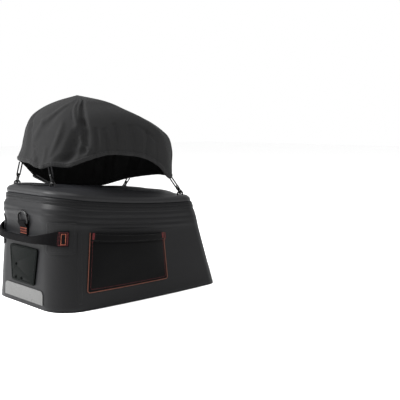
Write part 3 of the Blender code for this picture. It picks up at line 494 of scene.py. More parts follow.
def thicken(obj, depth, bevel=0.0):
    """Gives a sheet its wall; with a bevel, the wall's edges are rounded."""
    wall = obj.modifiers.new("wall", "SOLIDIFY")
    wall.thickness, wall.offset = depth, -1.0
    if bevel:
        edge = obj.modifiers.new("edge", "BEVEL")
        edge.width, edge.segments, edge.limit_method = bevel, 2, "ANGLE"
        edge.angle_limit = math.radians(50)
    made = evaluated_mesh(obj)
    obj.modifiers.clear()
    old, obj.data = obj.data, made
    bpy.data.meshes.remove(old)
    made.name = obj.name


@contextmanager
def editing(mesh):
    """The mesh opened for work on single faces, and written back after it."""
    work = bmesh.new()
    work.from_mesh(mesh)
    work.verts.ensure_lookup_table()
    yield work
    work.to_mesh(mesh)
    work.free()


def tube_rows(points, radius, sides=10, upright=Vector((0, 0, 1)), closed=False):
    """Rings round a path; radius may be a function of the share along it."""
    rings, count = [], len(points)
    for index, point in enumerate(points):
        ahead = points[(index + 1) % count] if closed or index < count - 1 else point
        behind = points[index - 1] if closed or index > 0 else point
        run = (ahead - behind).normalized()
        across = run.cross(upright).normalized()
        over = across.cross(run).normalized()
        size = radius(index / (count - 1)) if callable(radius) else radius
        wide, tall = size if isinstance(size, tuple) else (size, size)
        rings.append([point + across * wide * math.cos(2 * math.pi * s / sides)
                      + over * tall * math.sin(2 * math.pi * s / sides) for s in range(sides)][::-1])
    return rings


def tube_piece(name, points, radius, finish, sides=10, upright=Vector((0, 0, 1)), closed=False):
    """A tube along a path, with round ends where it is open."""
    rows = tube_rows(points, radius, sides, upright, closed)
    if not closed:
        def cap(ring, point, away, share):
            middle, centre = sum(ring, Vector()) / sides, point + away * math.sqrt(1 - share * share) * radius
            return [centre + (p - middle) * share for p in ring]

        first, last = (points[1] - points[0]).normalized(), (points[-1] - points[-2]).normalized()
        head = [cap(rows[0], points[0], -first, share) for share in (0.12, 0.5, 0.8, 0.95)]
        tail = [cap(rows[-1], points[-1], last, share) for share in (0.95, 0.8, 0.5, 0.12)]
        rows = head + rows + tail
    obj = grid_piece(name, rows, finish, wrap_columns=True, wrap_rows=closed)
    if not closed:
        close_ends(obj, len(rows), sides)
    return obj


def close_ends(obj, rows, columns):
    """Closes both open ends of a wrapped grid with one face each."""
    with editing(obj.data) as work:
        work.faces.new([work.verts[c] for c in range(columns)][::-1])
        work.faces.new([work.verts[(rows - 1) * columns + c] for c in range(columns)])


def join(name, parts):
    """Makes one object of several meshes, each keeping its material."""
    bpy.ops.object.select_all(action="DESELECT")
    for part in parts:
        part.select_set(True)
    bpy.context.view_layer.objects.active = parts[0]
    bpy.ops.object.join()
    parts[0].name = parts[0].data.name = name
    return parts[0]


def seat(obj, slot, *nodes, body="bag"):
    """Names the piece's body and the CAD nodes that it stands for; its finish slot is not used."""
    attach(obj, body)
    if nodes:
        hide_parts(*nodes)
    print("%s: %d faces" % (obj.name, len(obj.data.polygons)))


# %% [markdown]
# ## Finishes
#
# The bag is all dark, so its cloths differ by sheen and grain, not by colour. The coated fabric
# has a fine plain weave under a matt film that lightens where light grazes it; the pocket's cloth
# is smoother and darker; webbing has coarse ribs; the cover's knit is soft, with a sheen at its
# edges. Each formula starts from coordinates in metres, so every thread has its real size.

# %% Cloth finishes
def coated_fabric(name, threads_on="Object", shade=1.0):
    """The coated cloth; its weave lies on the UV map, or on Object coordinates where it is flat."""
    f = Finish(name, (0.0027 * shade, 0.0027 * shade, 0.0030 * shade), 0.50, sheen_weight=0.02,
               sheen_roughness=0.5, specular_ior_level=0.12 * shade)
    f.shader.inputs["Sheen Tint"].default_value = (0.75, 0.78, 0.90, 1.0)
    threads = weave(f, f.place(threads_on), 0.0011)
    cloud, grain = f.noise(f.place(), 14, 4), f.noise(f.place(), 900, 2)
    f.tone((cloud * 0.55 + threads * 0.25 + grain * 0.2).clamp(), 0.72, 1.30)
    f.rough(cloud, 0.42, 0.58)
    f.bump(threads * 0.6 + grain * 0.4, 0.00010, 0.8)
    return f


def pocket_fabric():
    f = Finish("pocket_fabric", (0.0006, 0.0006, 0.0007), 0.48, specular_ior_level=0.05)
    threads = weave(f, f.place("UV"), 0.0007)
    cloud = f.noise(f.place(), 20, 3)
    f.tone((cloud * 0.6 + threads * 0.4).clamp(), 0.80, 1.30)
    f.rough(cloud, 0.42, 0.58)
    f.bump(threads, 0.00006, 0.7)
    return f


def webbing():
    f = Finish("webbing", (0.0010, 0.0009, 0.0011), 0.74, specular_ior_level=0.04)
    uv = f.place("UV")
    ribs = f.wave(uv, bands(0.0021), "Y")
    picks = f.wave(uv, bands(0.0012), "X")
    fuzz = f.noise(f.place(), 1500, 2)
    f.tone((ribs * 0.45 + picks * 0.3 + fuzz * 0.25).clamp(), 0.6, 1.6)
    f.rough(fuzz, 0.62, 0.85)
    f.bump(ribs * 0.6 + picks * 0.4, 0.00022, 0.9)
    return f


def stretch_fabric():
    f = Finish("stretch_fabric", (0.0108, 0.0108, 0.0110), 0.78, sheen_weight=0.01, sheen_roughness=0.38,
               specular_ior_level=0.08)
    f.shader.inputs["Sheen Tint"].default_value = (0.85, 0.85, 0.88, 1.0)
    uv = f.place("UV")
    wales = f.wave(uv, bands(0.0009), "X", "SIN", 0.6)
    courses = f.wave(uv, bands(0.0007), "Y", "SIN", 0.6)
    cloud = f.noise(f.place(), 26, 4)
    fibre = f.noise(f.place(), 1800, 2)
    f.tone((cloud * 0.5 + wales * courses * 0.3 + fibre * 0.2).clamp(), 0.74, 1.35)
    f.rough(fibre, 0.70, 0.88)
    f.bump(wales * courses + fibre * 0.3, 0.00012, 0.8)
    return f


def hem_elastic():
    f = Finish("hem_elastic", (0.0096, 0.0096, 0.0098), 0.80, sheen_weight=0.01, sheen_roughness=0.4,
               specular_ior_level=0.13)
    uv = f.place("UV")
    ribs = f.wave(uv, bands(0.0016), "Y", "SIN", 0.8)
    rows = f.wave(uv, bands(0.0014), "X")
    fibre = f.noise(f.place(), 1500, 2)
    f.tone((ribs * 0.5 + rows * 0.25 + fibre * 0.25).clamp(), 0.6, 1.45)
    f.rough(fibre, 0.72, 0.9)
    f.bump(ribs * 0.7 + rows * 0.3, 0.00025, 0.9)
    return f


def elastic_cord():
    f = Finish("elastic_cord", (0.0030, 0.0030, 0.0033), 0.70, specular_ior_level=0.08)
    at = f.place()
    one = f.wave(at, bands(0.0016), "DIAGONAL", "SIN", 0.4)
    two = f.wave(f.place("Object", turn=(0, 0, 1.57)), bands(0.0016), "DIAGONAL", "SIN", 0.4)
    braid = one.maths("MAXIMUM", two)
    fleck = f.noise(at, 2500, 1)
    f.tone((braid * 0.7 + fleck * 0.3).clamp(), 0.55, 2.0)
    f.rough(braid, 0.8, 0.6)
    f.bump(braid, 0.00025, 0.9)
    return f


COATED, POCKET_CLOTH = coated_fabric("coated_fabric", "UV"), pocket_fabric()
# The lid's cloth is the tub's coated fabric painted 1.5 times lighter: a painted highlight for the light that falls
# on the lid's top.
LID_CLOTH_PAINTED_LIGHT, ZIP_CLOTH = coated_fabric("lid_fabric_painted_light", shade=1.5), coated_fabric("zip_fabric", shade=0.75)
WEBBING, KNIT, HEM, ELASTIC = webbing(), stretch_fabric(), hem_elastic(), elastic_cord()
for cord in (lid_cord, pull_loop):
    cord.data.materials.append(ELASTIC.material)

# %% [markdown]
# The hard pieces and the trims: moulded plastic with a faint grain, rubber with a pebbled skin and
# paler dusty patches, a reflective film with its small square cells, and twisted sewing thread.

# %% Hard finishes and threads
def plastic():
    f = Finish("black_plastic", (0.0022, 0.0022, 0.0025), 0.38, specular_ior_level=0.17)
    at = f.place()
    grain, scuffs = f.noise(at, 1400, 2), f.noise(at, 160, 5, 0.7)
    f.tone(steps(scuffs, 0.45, 0.75), 0.85, 1.9)
    f.rough(steps(scuffs, 0.4, 0.7), 0.26, 0.46)
    f.bump(grain, 0.00006, 0.5)
    return f


def panel_rubber():
    f = Finish("light_panel_rubber", (0.0012, 0.0018, 0.0016), 0.50, specular_ior_level=0.03)
    at = f.place()
    pebble = f.node("ShaderNodeTexVoronoi", {"feature": "F1"}, {"Vector": at, "Scale": 1100.0}, "Distance")
    dust = f.noise(at, 45, 5, 0.65)
    f.tone(steps(dust, 0.35, 0.75), 0.8, 1.5)
    f.rough(dust, 0.42, 0.62)
    f.bump(1 - pebble, 0.00010, 0.6)
    return f


def reflective_film():
    f = Finish("reflective_film", (0.066, 0.066, 0.065), 0.38, metallic=0.05, specular_ior_level=0.2)
    uv = f.place("UV")
    columns, rows = f.wave(uv, bands(0.0024), "X"), f.wave(uv, bands(0.0024), "Y")
    cells = steps(columns.maths("MAXIMUM", rows), 0.86, 0.98)
    grime = f.noise(f.place(), 60, 5, 0.7)
    f.tone((1 - cells * 0.45 - steps(grime, 0.55, 0.85) * 0.35).clamp(), 0.70, 1.08)
    f.rough(cells * 0.5 + grime * 0.5, 0.22, 0.5)
    f.bump(1 - cells, 0.00008, 0.6)
    return f


def thread(name, colour):
    f = Finish(name, colour, 0.6, sheen_weight=0.04, specular_ior_level=0.12)
    at = f.place()
    twist = f.wave(at, bands(0.0009), "DIAGONAL", "SIN", 0.3)
    wear = f.noise(at, 300, 2)
    f.tone((twist * 0.6 + wear * 0.4).clamp(), 0.6, 1.3)
    f.rough(wear, 0.5, 0.75)
    f.bump(twist, 0.00008, 0.7)
    return f


PLASTIC, RUBBER, FILM = plastic(), panel_rubber(), reflective_film()
ORANGE = thread("orange_thread", (0.26, 0.070, 0.038))
PIPING = thread("orange_piping", (0.088, 0.029, 0.018))
RED = thread("red_thread", (0.075, 0.009, 0.010))
DARK = thread("dark_thread", (0.0060, 0.0060, 0.0064))


# %% [markdown]
# ## The tub
#
# The tub is one skin of coated fabric, so it is one closed grid: rings of points round the outline,
# stacked from the base to the zip, with the creases of the upper zone worked into each ring. It
# could be sculpted, but a grid keeps the wall's exact planes between the folds. The inner wall
# follows the outer one at the cloth's thickness, and the base closes both.

# %% Outline stations
def outline(rear=22, rear_corner=26, side=96, front_corner=16, front=22):
    half = []
    for segment, count in (("rear", rear), ("rear_corner", rear_corner), ("side", side),
                           ("front_corner", front_corner), ("front", front)):
        half += [(segment, step / count) for step in range(count)]
    near = [(segment, share, -1) for segment, share in half]
    far = [(segment, share, 1) for segment, share in half[1:] + [("front", 1.0)]]
    return near + far[::-1]


STATIONS = outline()


def station_rim(station):
    return rim_height(plan_point(station[0], station[1], REAR_HEIGHT, 0.0, station[2]).x)


def wall_ring(height, push):
    """Ring round the wall: height gives a station's z from its rim's, and push its distance out."""
    ring = []
    for segment, share, side in STATIONS:
        rim = station_rim((segment, share, side))
        z = height(rim)
        base = plan_point(segment, share, z, 0.0, side)
        ring.append(plan_point(segment, share, z, push(base, z, rim), side))
    return ring


def ring_at_depth(depth, out=0.0, relief=True):
    """Ring of the wall at a constant depth under the rim."""
    return wall_ring(lambda rim: rim - depth,
                     lambda at, z, rim: out + (wall_relief(at.x, at.y, z, depth) if relief else 0.0))


def ring_low(share, out=0.0, lift=0.0):
    """Ring of the lower wall: share 0 is the base and 1 the foot of the soft zone."""
    return wall_ring(lambda rim: mix(lift, rim - CUFF_DEPTH, share),
                     lambda at, z, rim: out + (wall_relief(at.x, at.y, z, rim - z) if share > 0 else 0.0))


# %% Build the tub
base_turns = [math.radians(a) for a in (90, 66, 44, 22, 0)]
tub_rows = [ring_low(0.0, -BASE_ROUND * math.sin(a), BASE_ROUND * (1 - math.cos(a))) for a in base_turns]
tub_rows = [ring_low(0.0, -BASE_ROUND * 3.0, 0.0)] + tub_rows
tub_rows += [ring_low(0.01 + 0.99 * step / 30, 0.0, BASE_ROUND) for step in range(30)]
cuff_steps = 52
depths = [mix(CUFF_DEPTH, LID_SPLIT + GAP, step / cuff_steps) for step in range(cuff_steps + 1)]
tub_rows += [ring_at_depth(depth) for depth in depths]
inner = [ring_at_depth(LID_SPLIT + GAP, -BODY_WALL), ring_at_depth(CUFF_DEPTH * 0.6, -BODY_WALL, False),
         ring_at_depth(CUFF_DEPTH, -BODY_WALL, False)]
inner += [ring_low(0.0, -BODY_WALL, 0.012), ring_low(0.0, -BODY_WALL - 0.0036, 0.0032)]
tub_rows += inner
tub = grid_piece("bag_tub", tub_rows, COATED, wrap_columns=True)
close_ends(tub, len(tub_rows), len(STATIONS))
seat(tub, "coated_fabric", "body_shell")

# %% [markdown]
# ## The lid
#
# The lid is a padded panel: a short skirt under the rim, a rolled edge, and a top that crowns a
# little. Foam inside makes it swell between its seams and pucker near the cords. It is built as a
# closed grid, then Blender's cloth blows it up gently, with its skirt and underside pinned, and
# no point may travel further than a cap. The grid keeps its UV map, as nothing is remeshed.

# %% Lid grid
LID_WALL, LID_CROWN, LID_SQUARENESS, RIM_ROLL = 0.0028, 0.010, 9, 0.0065
LID_FRONT, LID_REAR = front_x(REAR_HEIGHT), rear_x(REAR_HEIGHT)
LID_MIDDLE = (LID_FRONT + LID_REAR) / 2


def lid_top(x, y):
    reach = (abs((x - LID_MIDDLE) / ((LID_FRONT - LID_REAR) / 2))**4 + abs(y / half_width(REAR_HEIGHT))**4)**0.25
    return rim_height(x) + LID_CROWN * (1 - min(reach, 1.0)**LID_SQUARENESS)


def lid_ring(inset, share, wrinkle=1.0):
    ring = []
    for segment, along, side in STATIONS:
        edge = plan_point(segment, along, REAR_HEIGHT, -inset, side)
        point = edge.lerp(Vector((LID_MIDDLE, 0, 0)), share)
        point.z = lid_top(point.x, point.y)
        point.z += wrinkle * 0.0009 * slow_noise(point.x * 1.5, point.y * 1.3 + 0.4)
        ring.append(point)
    return ring


def skirt_relief(depth):
    """The rolled edge stands out, and the zip's channel under it is sunk."""
    return (0.0010 * bell((depth - 0.0065) / 0.0055) - 0.0012 * ease(0.0102, 0.0125, depth)
            + 0.0007 * bell((depth - 0.0155) / 0.0020))


def skirt_ring(depth, out=0.0):
    relief = skirt_relief(depth)
    return wall_ring(lambda rim: rim - depth,
                     lambda at, z, rim: out + (relief + 0.0003 * slow_noise(at.x * 2 + at.y, depth)))


skirt = [skirt_ring(LID_SPLIT - 0.0009 * step) for step in range(13)]
roll = []
for step in range(1, 7):
    turn = math.radians(90 * step / 7)
    roll.append(skirt_ring(RIM_ROLL * (1 - math.sin(turn)), -RIM_ROLL * 0.9 * (1 - math.cos(turn))))
shares = [0.0, 0.014, 0.03, 0.05, 0.075, 0.105, 0.14, 0.18, 0.225, 0.275, 0.33, 0.39, 0.46, 0.54, 0.63, 0.73,
          0.84, 0.93]
top_rows = [lid_ring(RIM_ROLL * 1.15, share) for share in shares]
under_rows = [[p - Vector((0, 0, LID_WALL)) for p in lid_ring(RIM_ROLL * 1.15, share, 0.0)]
              for share in (0.93, 0.46, 0.0)]
inside_rows = [skirt_ring(RIM_ROLL, -RIM_ROLL), skirt_ring(LID_SPLIT, -BODY_WALL)]


def lid_mesh(name, rows):
    obj = grid_piece(name, rows, LID_CLOTH_PAINTED_LIGHT, wrap_columns=True, wrap_rows=True)
    width, crown = len(STATIONS), len(skirt) + len(roll) + len(top_rows) - 1
    with editing(obj.data) as work:
        bridge = [f for f in work.faces if {v.index // width for v in f.verts} == {crown, crown + 1}]
        bmesh.ops.delete(work, geom=bridge, context="FACES_ONLY")
        work.faces.new([work.verts[crown * width + c] for c in range(width)]).smooth = True
        work.faces.new([work.verts[(crown + 1) * width + c] for c in range(width)][::-1])
    return obj


lid = lid_mesh("bag_lid", skirt + roll + top_rows + under_rows + inside_rows)


# %% Cloth puff
def puff(obj, pinned, cap, pressure, frames=14, stiffness=12.0):
    """Blows a closed mesh up with cloth; pinned says how firmly each point is held."""
    rest = [v.co.copy() for v in obj.data.vertices]
    group = obj.vertex_groups.new(name="pin")
    for v in obj.data.vertices:
        group.add([v.index], pinned(v.co, v.index), "REPLACE")
    cloth = obj.modifiers.new("cloth", "CLOTH")
    settings = cloth.settings
    settings.quality, settings.mass = 4, 0.25
    settings.tension_stiffness = settings.compression_stiffness = stiffness
    settings.shear_stiffness, settings.bending_stiffness = stiffness / 2, 0.6
    settings.vertex_group_mass = "pin"
    settings.use_pressure = True
    settings.uniform_pressure_force = pressure
    settings.effector_weights.gravity = 0.0
    cloth.collision_settings.use_collision = False
    cloth.point_cache.frame_start, cloth.point_cache.frame_end = 1, frames
    for number in range(1, frames + 1):
        scene.frame_set(number)
    graph = bpy.context.evaluated_depsgraph_get()
    moved = [v.co.copy() for v in obj.evaluated_get(graph).data.vertices]
    obj.modifiers.remove(cloth)
    obj.vertex_groups.remove(group)
    scene.frame_set(1)
    most = 0.0
    for v, start, end in zip(obj.data.vertices, rest, moved):
        step = end - start
        if step.length > cap:
            step = step * (cap / step.length)
        v.co = start + step
        most = max(most, step.length)
    obj.data.update()
    print("%s moved up to %.1f mm in the cloth" % (obj.name, most * 1000))


top_first = (len(skirt) + len(roll)) * len(STATIONS)
top_last = top_first + len(top_rows) * len(STATIONS)
lid_held = [(-0.1445, 0.0755), (-0.1459, -0.0433), (-0.137, 0.084), (-0.150, -0.056), (0.103, -0.085),
            (0.103, 0.085)]


def lid_pin(at, index):
    """The skirt and underside are held; the top is free except at its edge and the anchors."""
    if not top_first <= index < top_last:
        return 1.0
    ring = (index - top_first) // len(STATIONS)
    near = min(math.hypot(at.x - x, at.y - y) for x, y in lid_held)
    return max(1.0 if ring < 1 else 0.0, 1 - ease(0.006, 0.020, near))


puff(lid, lid_pin, 0.0014, 0.9)
seat(lid, "coated_fabric", "lid")

# %% [markdown]
# ## The zip
#
# A tape runs round the joint of lid and tub, with a closed coil of teeth hidden under its flap,
# so only the tape's two edges and a fine seam show. The tape is a ring of the same wall a little
# further out. The coil is one small tooth repeated along a path, which is work for Geometry
# Nodes: a curve through the path is resampled at the teeth's pitch, a tooth is set at each point
# and turned along the curve, and the instances are made real.

# %% Geometry Nodes helper
def repeat_along(name, paths, pitch, shape, finish, closed=False):
    """Sets a small shape at every pitch along paths of (point, upward direction)."""
    vertices, edges, ups = [], [], []
    for path in paths:
        first = len(vertices)
        vertices += [tuple(p) for p, _ in path]
        ups += [tuple(u) for _, u in path]
        edges += [(first + i, first + i + 1) for i in range(len(path) - 1)]
        if closed:
            edges.append((first + len(path) - 1, first))
    mesh = bpy.data.meshes.new(name + "_path")
    mesh.from_pydata(vertices, edges, [])
    up = mesh.attributes.new("up", "FLOAT_VECTOR", "POINT")
    up.data.foreach_set("vector", [c for u in ups for c in u])
    carrier = link(name + "_path", mesh)

    tree = bpy.data.node_groups.new(name + "_tree", "GeometryNodeTree")
    tree.interface.new_socket("Geometry", in_out="INPUT", socket_type="NodeSocketGeometry")
    given_values = dict(zip(("Pitch", "Length", "Width", "Height"), (pitch,) + shape))
    for label in given_values:
        tree.interface.new_socket(label, in_out="INPUT", socket_type="NodeSocketFloat")
    tree.interface.new_socket("Geometry", in_out="OUTPUT", socket_type="NodeSocketGeometry")

    def add(kind, links, **settings):
        node = tree.nodes.new(kind)
        for key, value in settings.items():
            setattr(node, key, value)
        for key, value in links.items():
            if isinstance(value, bpy.types.NodeSocket):
                tree.links.new(value, node.inputs[key])
            else:
                node.inputs[key].default_value = value
        return node.outputs

    given = tree.nodes.new("NodeGroupInput").outputs
    to_curve = add("GeometryNodeMeshToCurve", {"Mesh": given["Geometry"]})
    spaced = add("GeometryNodeResampleCurve", {"Curve": to_curve["Curve"], "Length": given["Pitch"]}, mode="LENGTH")
    ball = add("GeometryNodeMeshUVSphere", {"Segments": 8, "Rings": 4, "Radius": 0.5})
    size = add("ShaderNodeCombineXYZ", {"X": given["Length"], "Y": given["Width"], "Z": given["Height"]})
    sized = add("GeometryNodeTransform", {"Geometry": ball["Mesh"], "Scale": size["Vector"]})
    run = add("GeometryNodeInputTangent", {})
    upward = add("GeometryNodeInputNamedAttribute", {"Name": "up"}, data_type="FLOAT_VECTOR")
    turn = add("FunctionNodeAxesToRotation",
               {"Primary Axis": run["Tangent"], "Secondary Axis": upward["Attribute"]},
               primary_axis="X", secondary_axis="Z")
    placed = add("GeometryNodeInstanceOnPoints", {"Points": spaced["Curve"], "Instance": sized["Geometry"],
                                                  "Rotation": turn["Rotation"]})
    real = add("GeometryNodeRealizeInstances", {"Geometry": placed["Instances"]})
    shaded = add("GeometryNodeSetShadeSmooth", {"Geometry": real["Geometry"]})
    dressed = add("GeometryNodeSetMaterial", {"Geometry": shaded["Geometry"], "Material": finish.material})
    tree.links.new(dressed["Geometry"], tree.nodes.new("NodeGroupOutput").inputs["Geometry"])

    modifier = carrier.modifiers.new("repeat", "NODES")
    modifier.node_group = tree
    sockets = {item.name: item.identifier for item in tree.interface.items_tree if item.in_out == "INPUT"}
    for label, value in given_values.items():
        modifier[sockets[label]] = value
    made = evaluated_mesh(carrier)
    made.name = name
    bpy.data.objects.remove(carrier, do_unlink=True)
    return link(name, made)


# %% Zip tape and coil
ZIP_WIDTH, ZIP_THICKNESS = 0.011, 0.0012


def tape_relief(depth):
    """Two flat lips that meet over the coil in a groove."""
    off = (depth - LID_SPLIT) / (ZIP_WIDTH / 2)
    return 0.0006 * (1 - abs(off)**4) - 0.0010 * bell(off / 0.16)


def tape_ring(depth, out):
    return wall_ring(lambda rim: rim - depth, lambda at, z, rim: out)


offsets = [-1, -0.9, -0.6, -0.3, -0.16, -0.08, 0, 0.08, 0.16, 0.3, 0.6, 0.9, 1]
tape_out = [tape_ring(LID_SPLIT - s * ZIP_WIDTH / 2, GAP + ZIP_THICKNESS * (0.5 + 0.5 * (1 - abs(s)**6))
                      + tape_relief(LID_SPLIT - s * ZIP_WIDTH / 2) * 0.7) for s in offsets]
tape_in = [tape_ring(LID_SPLIT - s * ZIP_WIDTH / 2, GAP) for s in (1, 0, -1)]
tape = grid_piece("zip_tape_ring", tape_out + tape_in, ZIP_CLOTH, wrap_columns=True, wrap_rows=True)
seat(tape, "pocket_fabric", "zip_tape")


teeth, wall_line, out_line = [tape_ring(LID_SPLIT, out) for out in (GAP + ZIP_THICKNESS * 0.75, 0.0, 0.01)]
coil_path = [(p, (far - near).normalized()) for p, near, far in zip(teeth, wall_line, out_line)]
coil = repeat_along("zip_coil", [coil_path], 0.0016, (0.0010, 0.0022, 0.0010), PLASTIC, closed=True)
seat(coil, "black_plastic")


# %% [markdown]
# ## Sewn lines
#
# Seams, box stitches and bar tacks are short threads set along a path. The path is given in wall
# distances, so the stitches lie on the cloth wherever they go. Each stitch is a small ellipsoid a
# little longer than the gap, half sunk in the fabric, as a thread pulled tight is.

# %% Stitch helper
def stitch(name, paths, finish, pitch=0.0026, length=0.0021, width=0.0007, closed=False):
    return repeat_along(name, paths, pitch, (length, width, width * 0.75), finish, closed)


def box_path(s0, s1, z0, z1):
    return [(s0, z0), (s1, z0), (s1, z1), (s0, z1), (s0, z0)]


def wall_path(spots, out, side=-1, steps=12):
    """Points and outward directions through (along, z) spots on the wall."""
    path = []
    for (a0, z0), (a1, z1) in zip(spots, spots[1:]):
        count = max(2, int(steps * math.hypot(a1 - a0, z1 - z0) / 0.03) + 1)
        for step in range(count):
            a, z = mix(a0, a1, step / count), mix(z0, z1, step / count)
            path.append(wall_spot(a, z, out, side))
    path.append(wall_spot(*spots[-1], out, side))
    return path


def wall_spot(along, z, out, side=-1):
    near, far = wall_point(along, z, out, side), wall_point(along, z, out + 0.01, side)
    return near, (far - near).normalized()


# %% [markdown]
# ## The pocket
#
# The pocket is a flat panel sewn on at three edges that stands off the wall at its mouth, so a
# hand can go in. Its top has a doubled hem with a shadow under it. The panel follows the near
# wall, pushed out by a curve that is zero at the sewn edges.

# %% Pocket shape
POCKET_WALL, POCKET_REAR, POCKET_TOP_LENGTH = 0.0014, 0.0652, 0.150
POCKET_SLANT_REAR, POCKET_SLANT_FRONT = 0.0115, 0.004
POCKET_TOP_DEPTH, POCKET_BOTTOM, POCKET_BELLY = 0.063, 0.030, 0.0075
POCKET_HEM, PIPING_RADIUS = 0.012, 0.0008


def pocket_edges(up):
    rear = rear_x(0.0) + POCKET_REAR - POCKET_SLANT_REAR * (1 - up)
    return rear, rear_x(0.0) + POCKET_REAR + POCKET_TOP_LENGTH + POCKET_SLANT_FRONT * (1 - up)


def side_point(x, z, out):
    length = front_x(z) - FRONT_CORNER - rear_x(z) - REAR_CORNER
    share = (x - rear_x(z) - REAR_CORNER) / length
    if share < 0:
        turn = math.asin(min((rear_x(z) + REAR_CORNER - x) / (REAR_CORNER + out), 1.0))
        return plan_point("rear_corner", 1 - turn / (math.pi / 2), z, out, -1)
    return plan_point("side", share, z, out, -1)


def pocket_point(across, up, out):
    rear, front = pocket_edges(up)
    x = mix(rear, front, across)
    z = mix(POCKET_BOTTOM, rim_height(x) - POCKET_TOP_DEPTH, up)
    return side_point(x, z, out)


HEM_SHARE = 1 - POCKET_HEM / (rim_height(0.0) - POCKET_TOP_DEPTH - POCKET_BOTTOM)


def pocket_lift(across, up):
    """How far the panel stands off the wall: its belly, its hem, and soft pulls at the corners."""
    sides = 1 - abs(2 * across - 1)**3.5
    lift = POCKET_BELLY * sides * math.sin(min(up * 1.25, 1.0) * math.pi / 2)
    lift += 0.0011 * ease(HEM_SHARE - 0.008, HEM_SHARE + 0.006, up) - 0.0009 * bell((up - HEM_SHARE + 0.012) / 0.022)
    lift -= 0.0012 * bell((across - 0.035) / 0.05) * bell((up - 0.86) / 0.14)
    lift += 0.0007 * slow_noise(across * 0.25, up * 0.16 + 0.7) * sides
    return lift


columns, levels = 110, 66
outer_rows = [[pocket_point(c / columns, r / levels, GAP + POCKET_WALL + pocket_lift(c / columns, r / levels))
               for c in range(columns + 1)] for r in range(levels + 1)]
panel = grid_piece("pocket_panel", outer_rows, POCKET_CLOTH)
thicken(panel, POCKET_WALL, bevel=0.0003)
seat(panel, "pocket_fabric", "pocket")

# %% [markdown]
# A thin orange piping frames the pocket on three sides. It is a tube along the pocket's edge with
# rounded lower corners. Inside it runs a dark red line of stitches, and bar tacks of many close
# stitches hold the ends of the hem, where a hand pulls.

# %% Pocket piping, stitches and tacks
height = rim_height(0.0) - POCKET_TOP_DEPTH - POCKET_BOTTOM


POCKET_OUT = Vector((0, -1, 0.07)).normalized()


def pocket_frame(margin, drop, out, corner=0.05, count=70):
    """Path down the rear edge, along the bottom and up the front edge, a margin in metres outside."""
    turns = (0.4, 0.8, 1.2, math.pi / 2)
    ma, mu = margin / POCKET_TOP_LENGTH, drop / height
    ca, cu = corner * 0.5, corner
    spots = [(-ma, 1.0), (-ma, cu - mu)]
    spots += [(-ma + ca * (1 - math.cos(t)), -mu + cu * (1 - math.sin(t))) for t in turns]
    spots += [(1 + ma - ca, -mu)]
    spots += [(1 + ma - ca * (1 - math.sin(t)), -mu + cu * (1 - math.cos(t))) for t in turns]
    spots += [(1 + ma, 1.0)]
    path = []
    for (a0, u0), (a1, u1) in zip(spots, spots[1:]):
        n = max(1, int(count * (abs(a1 - a0) + abs(u1 - u0) * 0.6) / 2))
        path += [(mix(a0, a1, s / n), mix(u0, u1, s / n)) for s in range(n)]
    path.append(spots[-1])
    return [(pocket_point(a, u, out(a, u)), POCKET_OUT) for a, u in path]


piping_path = pocket_frame(PIPING_RADIUS + GAP, PIPING_RADIUS + GAP, lambda a, u: GAP + PIPING_RADIUS * 1.02,
                           corner=0.055, count=120)
piping = tube_piece("pocket_piping_tube", [p for p, _ in piping_path], PIPING_RADIUS, PIPING, 10,
                    Vector((0, -1, 0)))
seat(piping, "orange_piping", "pocket_piping")


def on_panel(a, u):
    inside = min(max(a, 0), 1), min(max(u, 0), 1)
    return GAP + POCKET_WALL + pocket_lift(*inside) + 0.0001


def panel_spot(a, u):
    return pocket_point(a, u, on_panel(a, u)), POCKET_OUT


frame_line = pocket_frame(-0.0032, -0.0032, on_panel)
hem_lines = [[panel_spot(a / 60, up) for a in range(2, 59)] for up in (HEM_SHARE + 0.02, 0.985)]
tacks = [[panel_spot(across + shift, u / 20) for u in range(17, 21)]
         for across in (0.018, 0.030, 0.972, 0.984, 1.022) for shift in (-0.004, 0.0, 0.004)]
seat(stitch("pocket_stitches", [frame_line], RED, 0.0024, 0.0019, 0.0006), "orange_piping")
seat(stitch("pocket_hem_stitches", hem_lines, DARK, 0.0026, 0.0020, 0.0006), "pocket_fabric")
seat(stitch("pocket_tacks", tacks, RED, 0.0011, 0.0014, 0.0008), "orange_piping")

# %% [markdown]
# ## Corner patches
#
# The handle pulls on two doubled patches of the same fabric, wrapped round the rear corners. Each
# is a rounded rectangle laid on the wall with a turned edge and a line of dark stitches.

# %% Patches
PATCH_HEIGHT, PATCH_CENTRE = 0.052, REAR_HEIGHT - 0.0788
PATCH_START, PATCH_END, PATCH_THICKNESS, PATCH_ROUND = 13.0, 71.0, 0.0014, 0.006


def patch_rows(side, out_edge, out_middle):
    start, end = corner_along(PATCH_START, PATCH_CENTRE), corner_along(PATCH_END, PATCH_CENTRE)
    middle, half, tall = (start + end) / 2, (end - start) / 2, PATCH_HEIGHT / 2
    rows = []
    for r in range(33):
        v = -math.cos(math.pi * r / 32)
        z = PATCH_CENTRE + tall * v
        over = max(abs(z - PATCH_CENTRE) - (tall - PATCH_ROUND), 0.0) / PATCH_ROUND
        reach = half - PATCH_ROUND * (1 - math.sqrt(max(1 - over * over, 0.0)))
        row = []
        for c in range(41):
            u = -math.cos(math.pi * c / 40)
            edge = min((1 - abs(u)) * half, (1 - abs(v)) * tall)
            lift = mix(out_edge, out_middle, ease(0.0, 0.0012, edge)) - 0.0003 * bell((edge - 0.0042) / 0.0012)
            row.append(wall_point(middle + reach * u, z, lift, side))
        rows.append(row[::-1] if side > 0 else row)
    return rows, middle, half


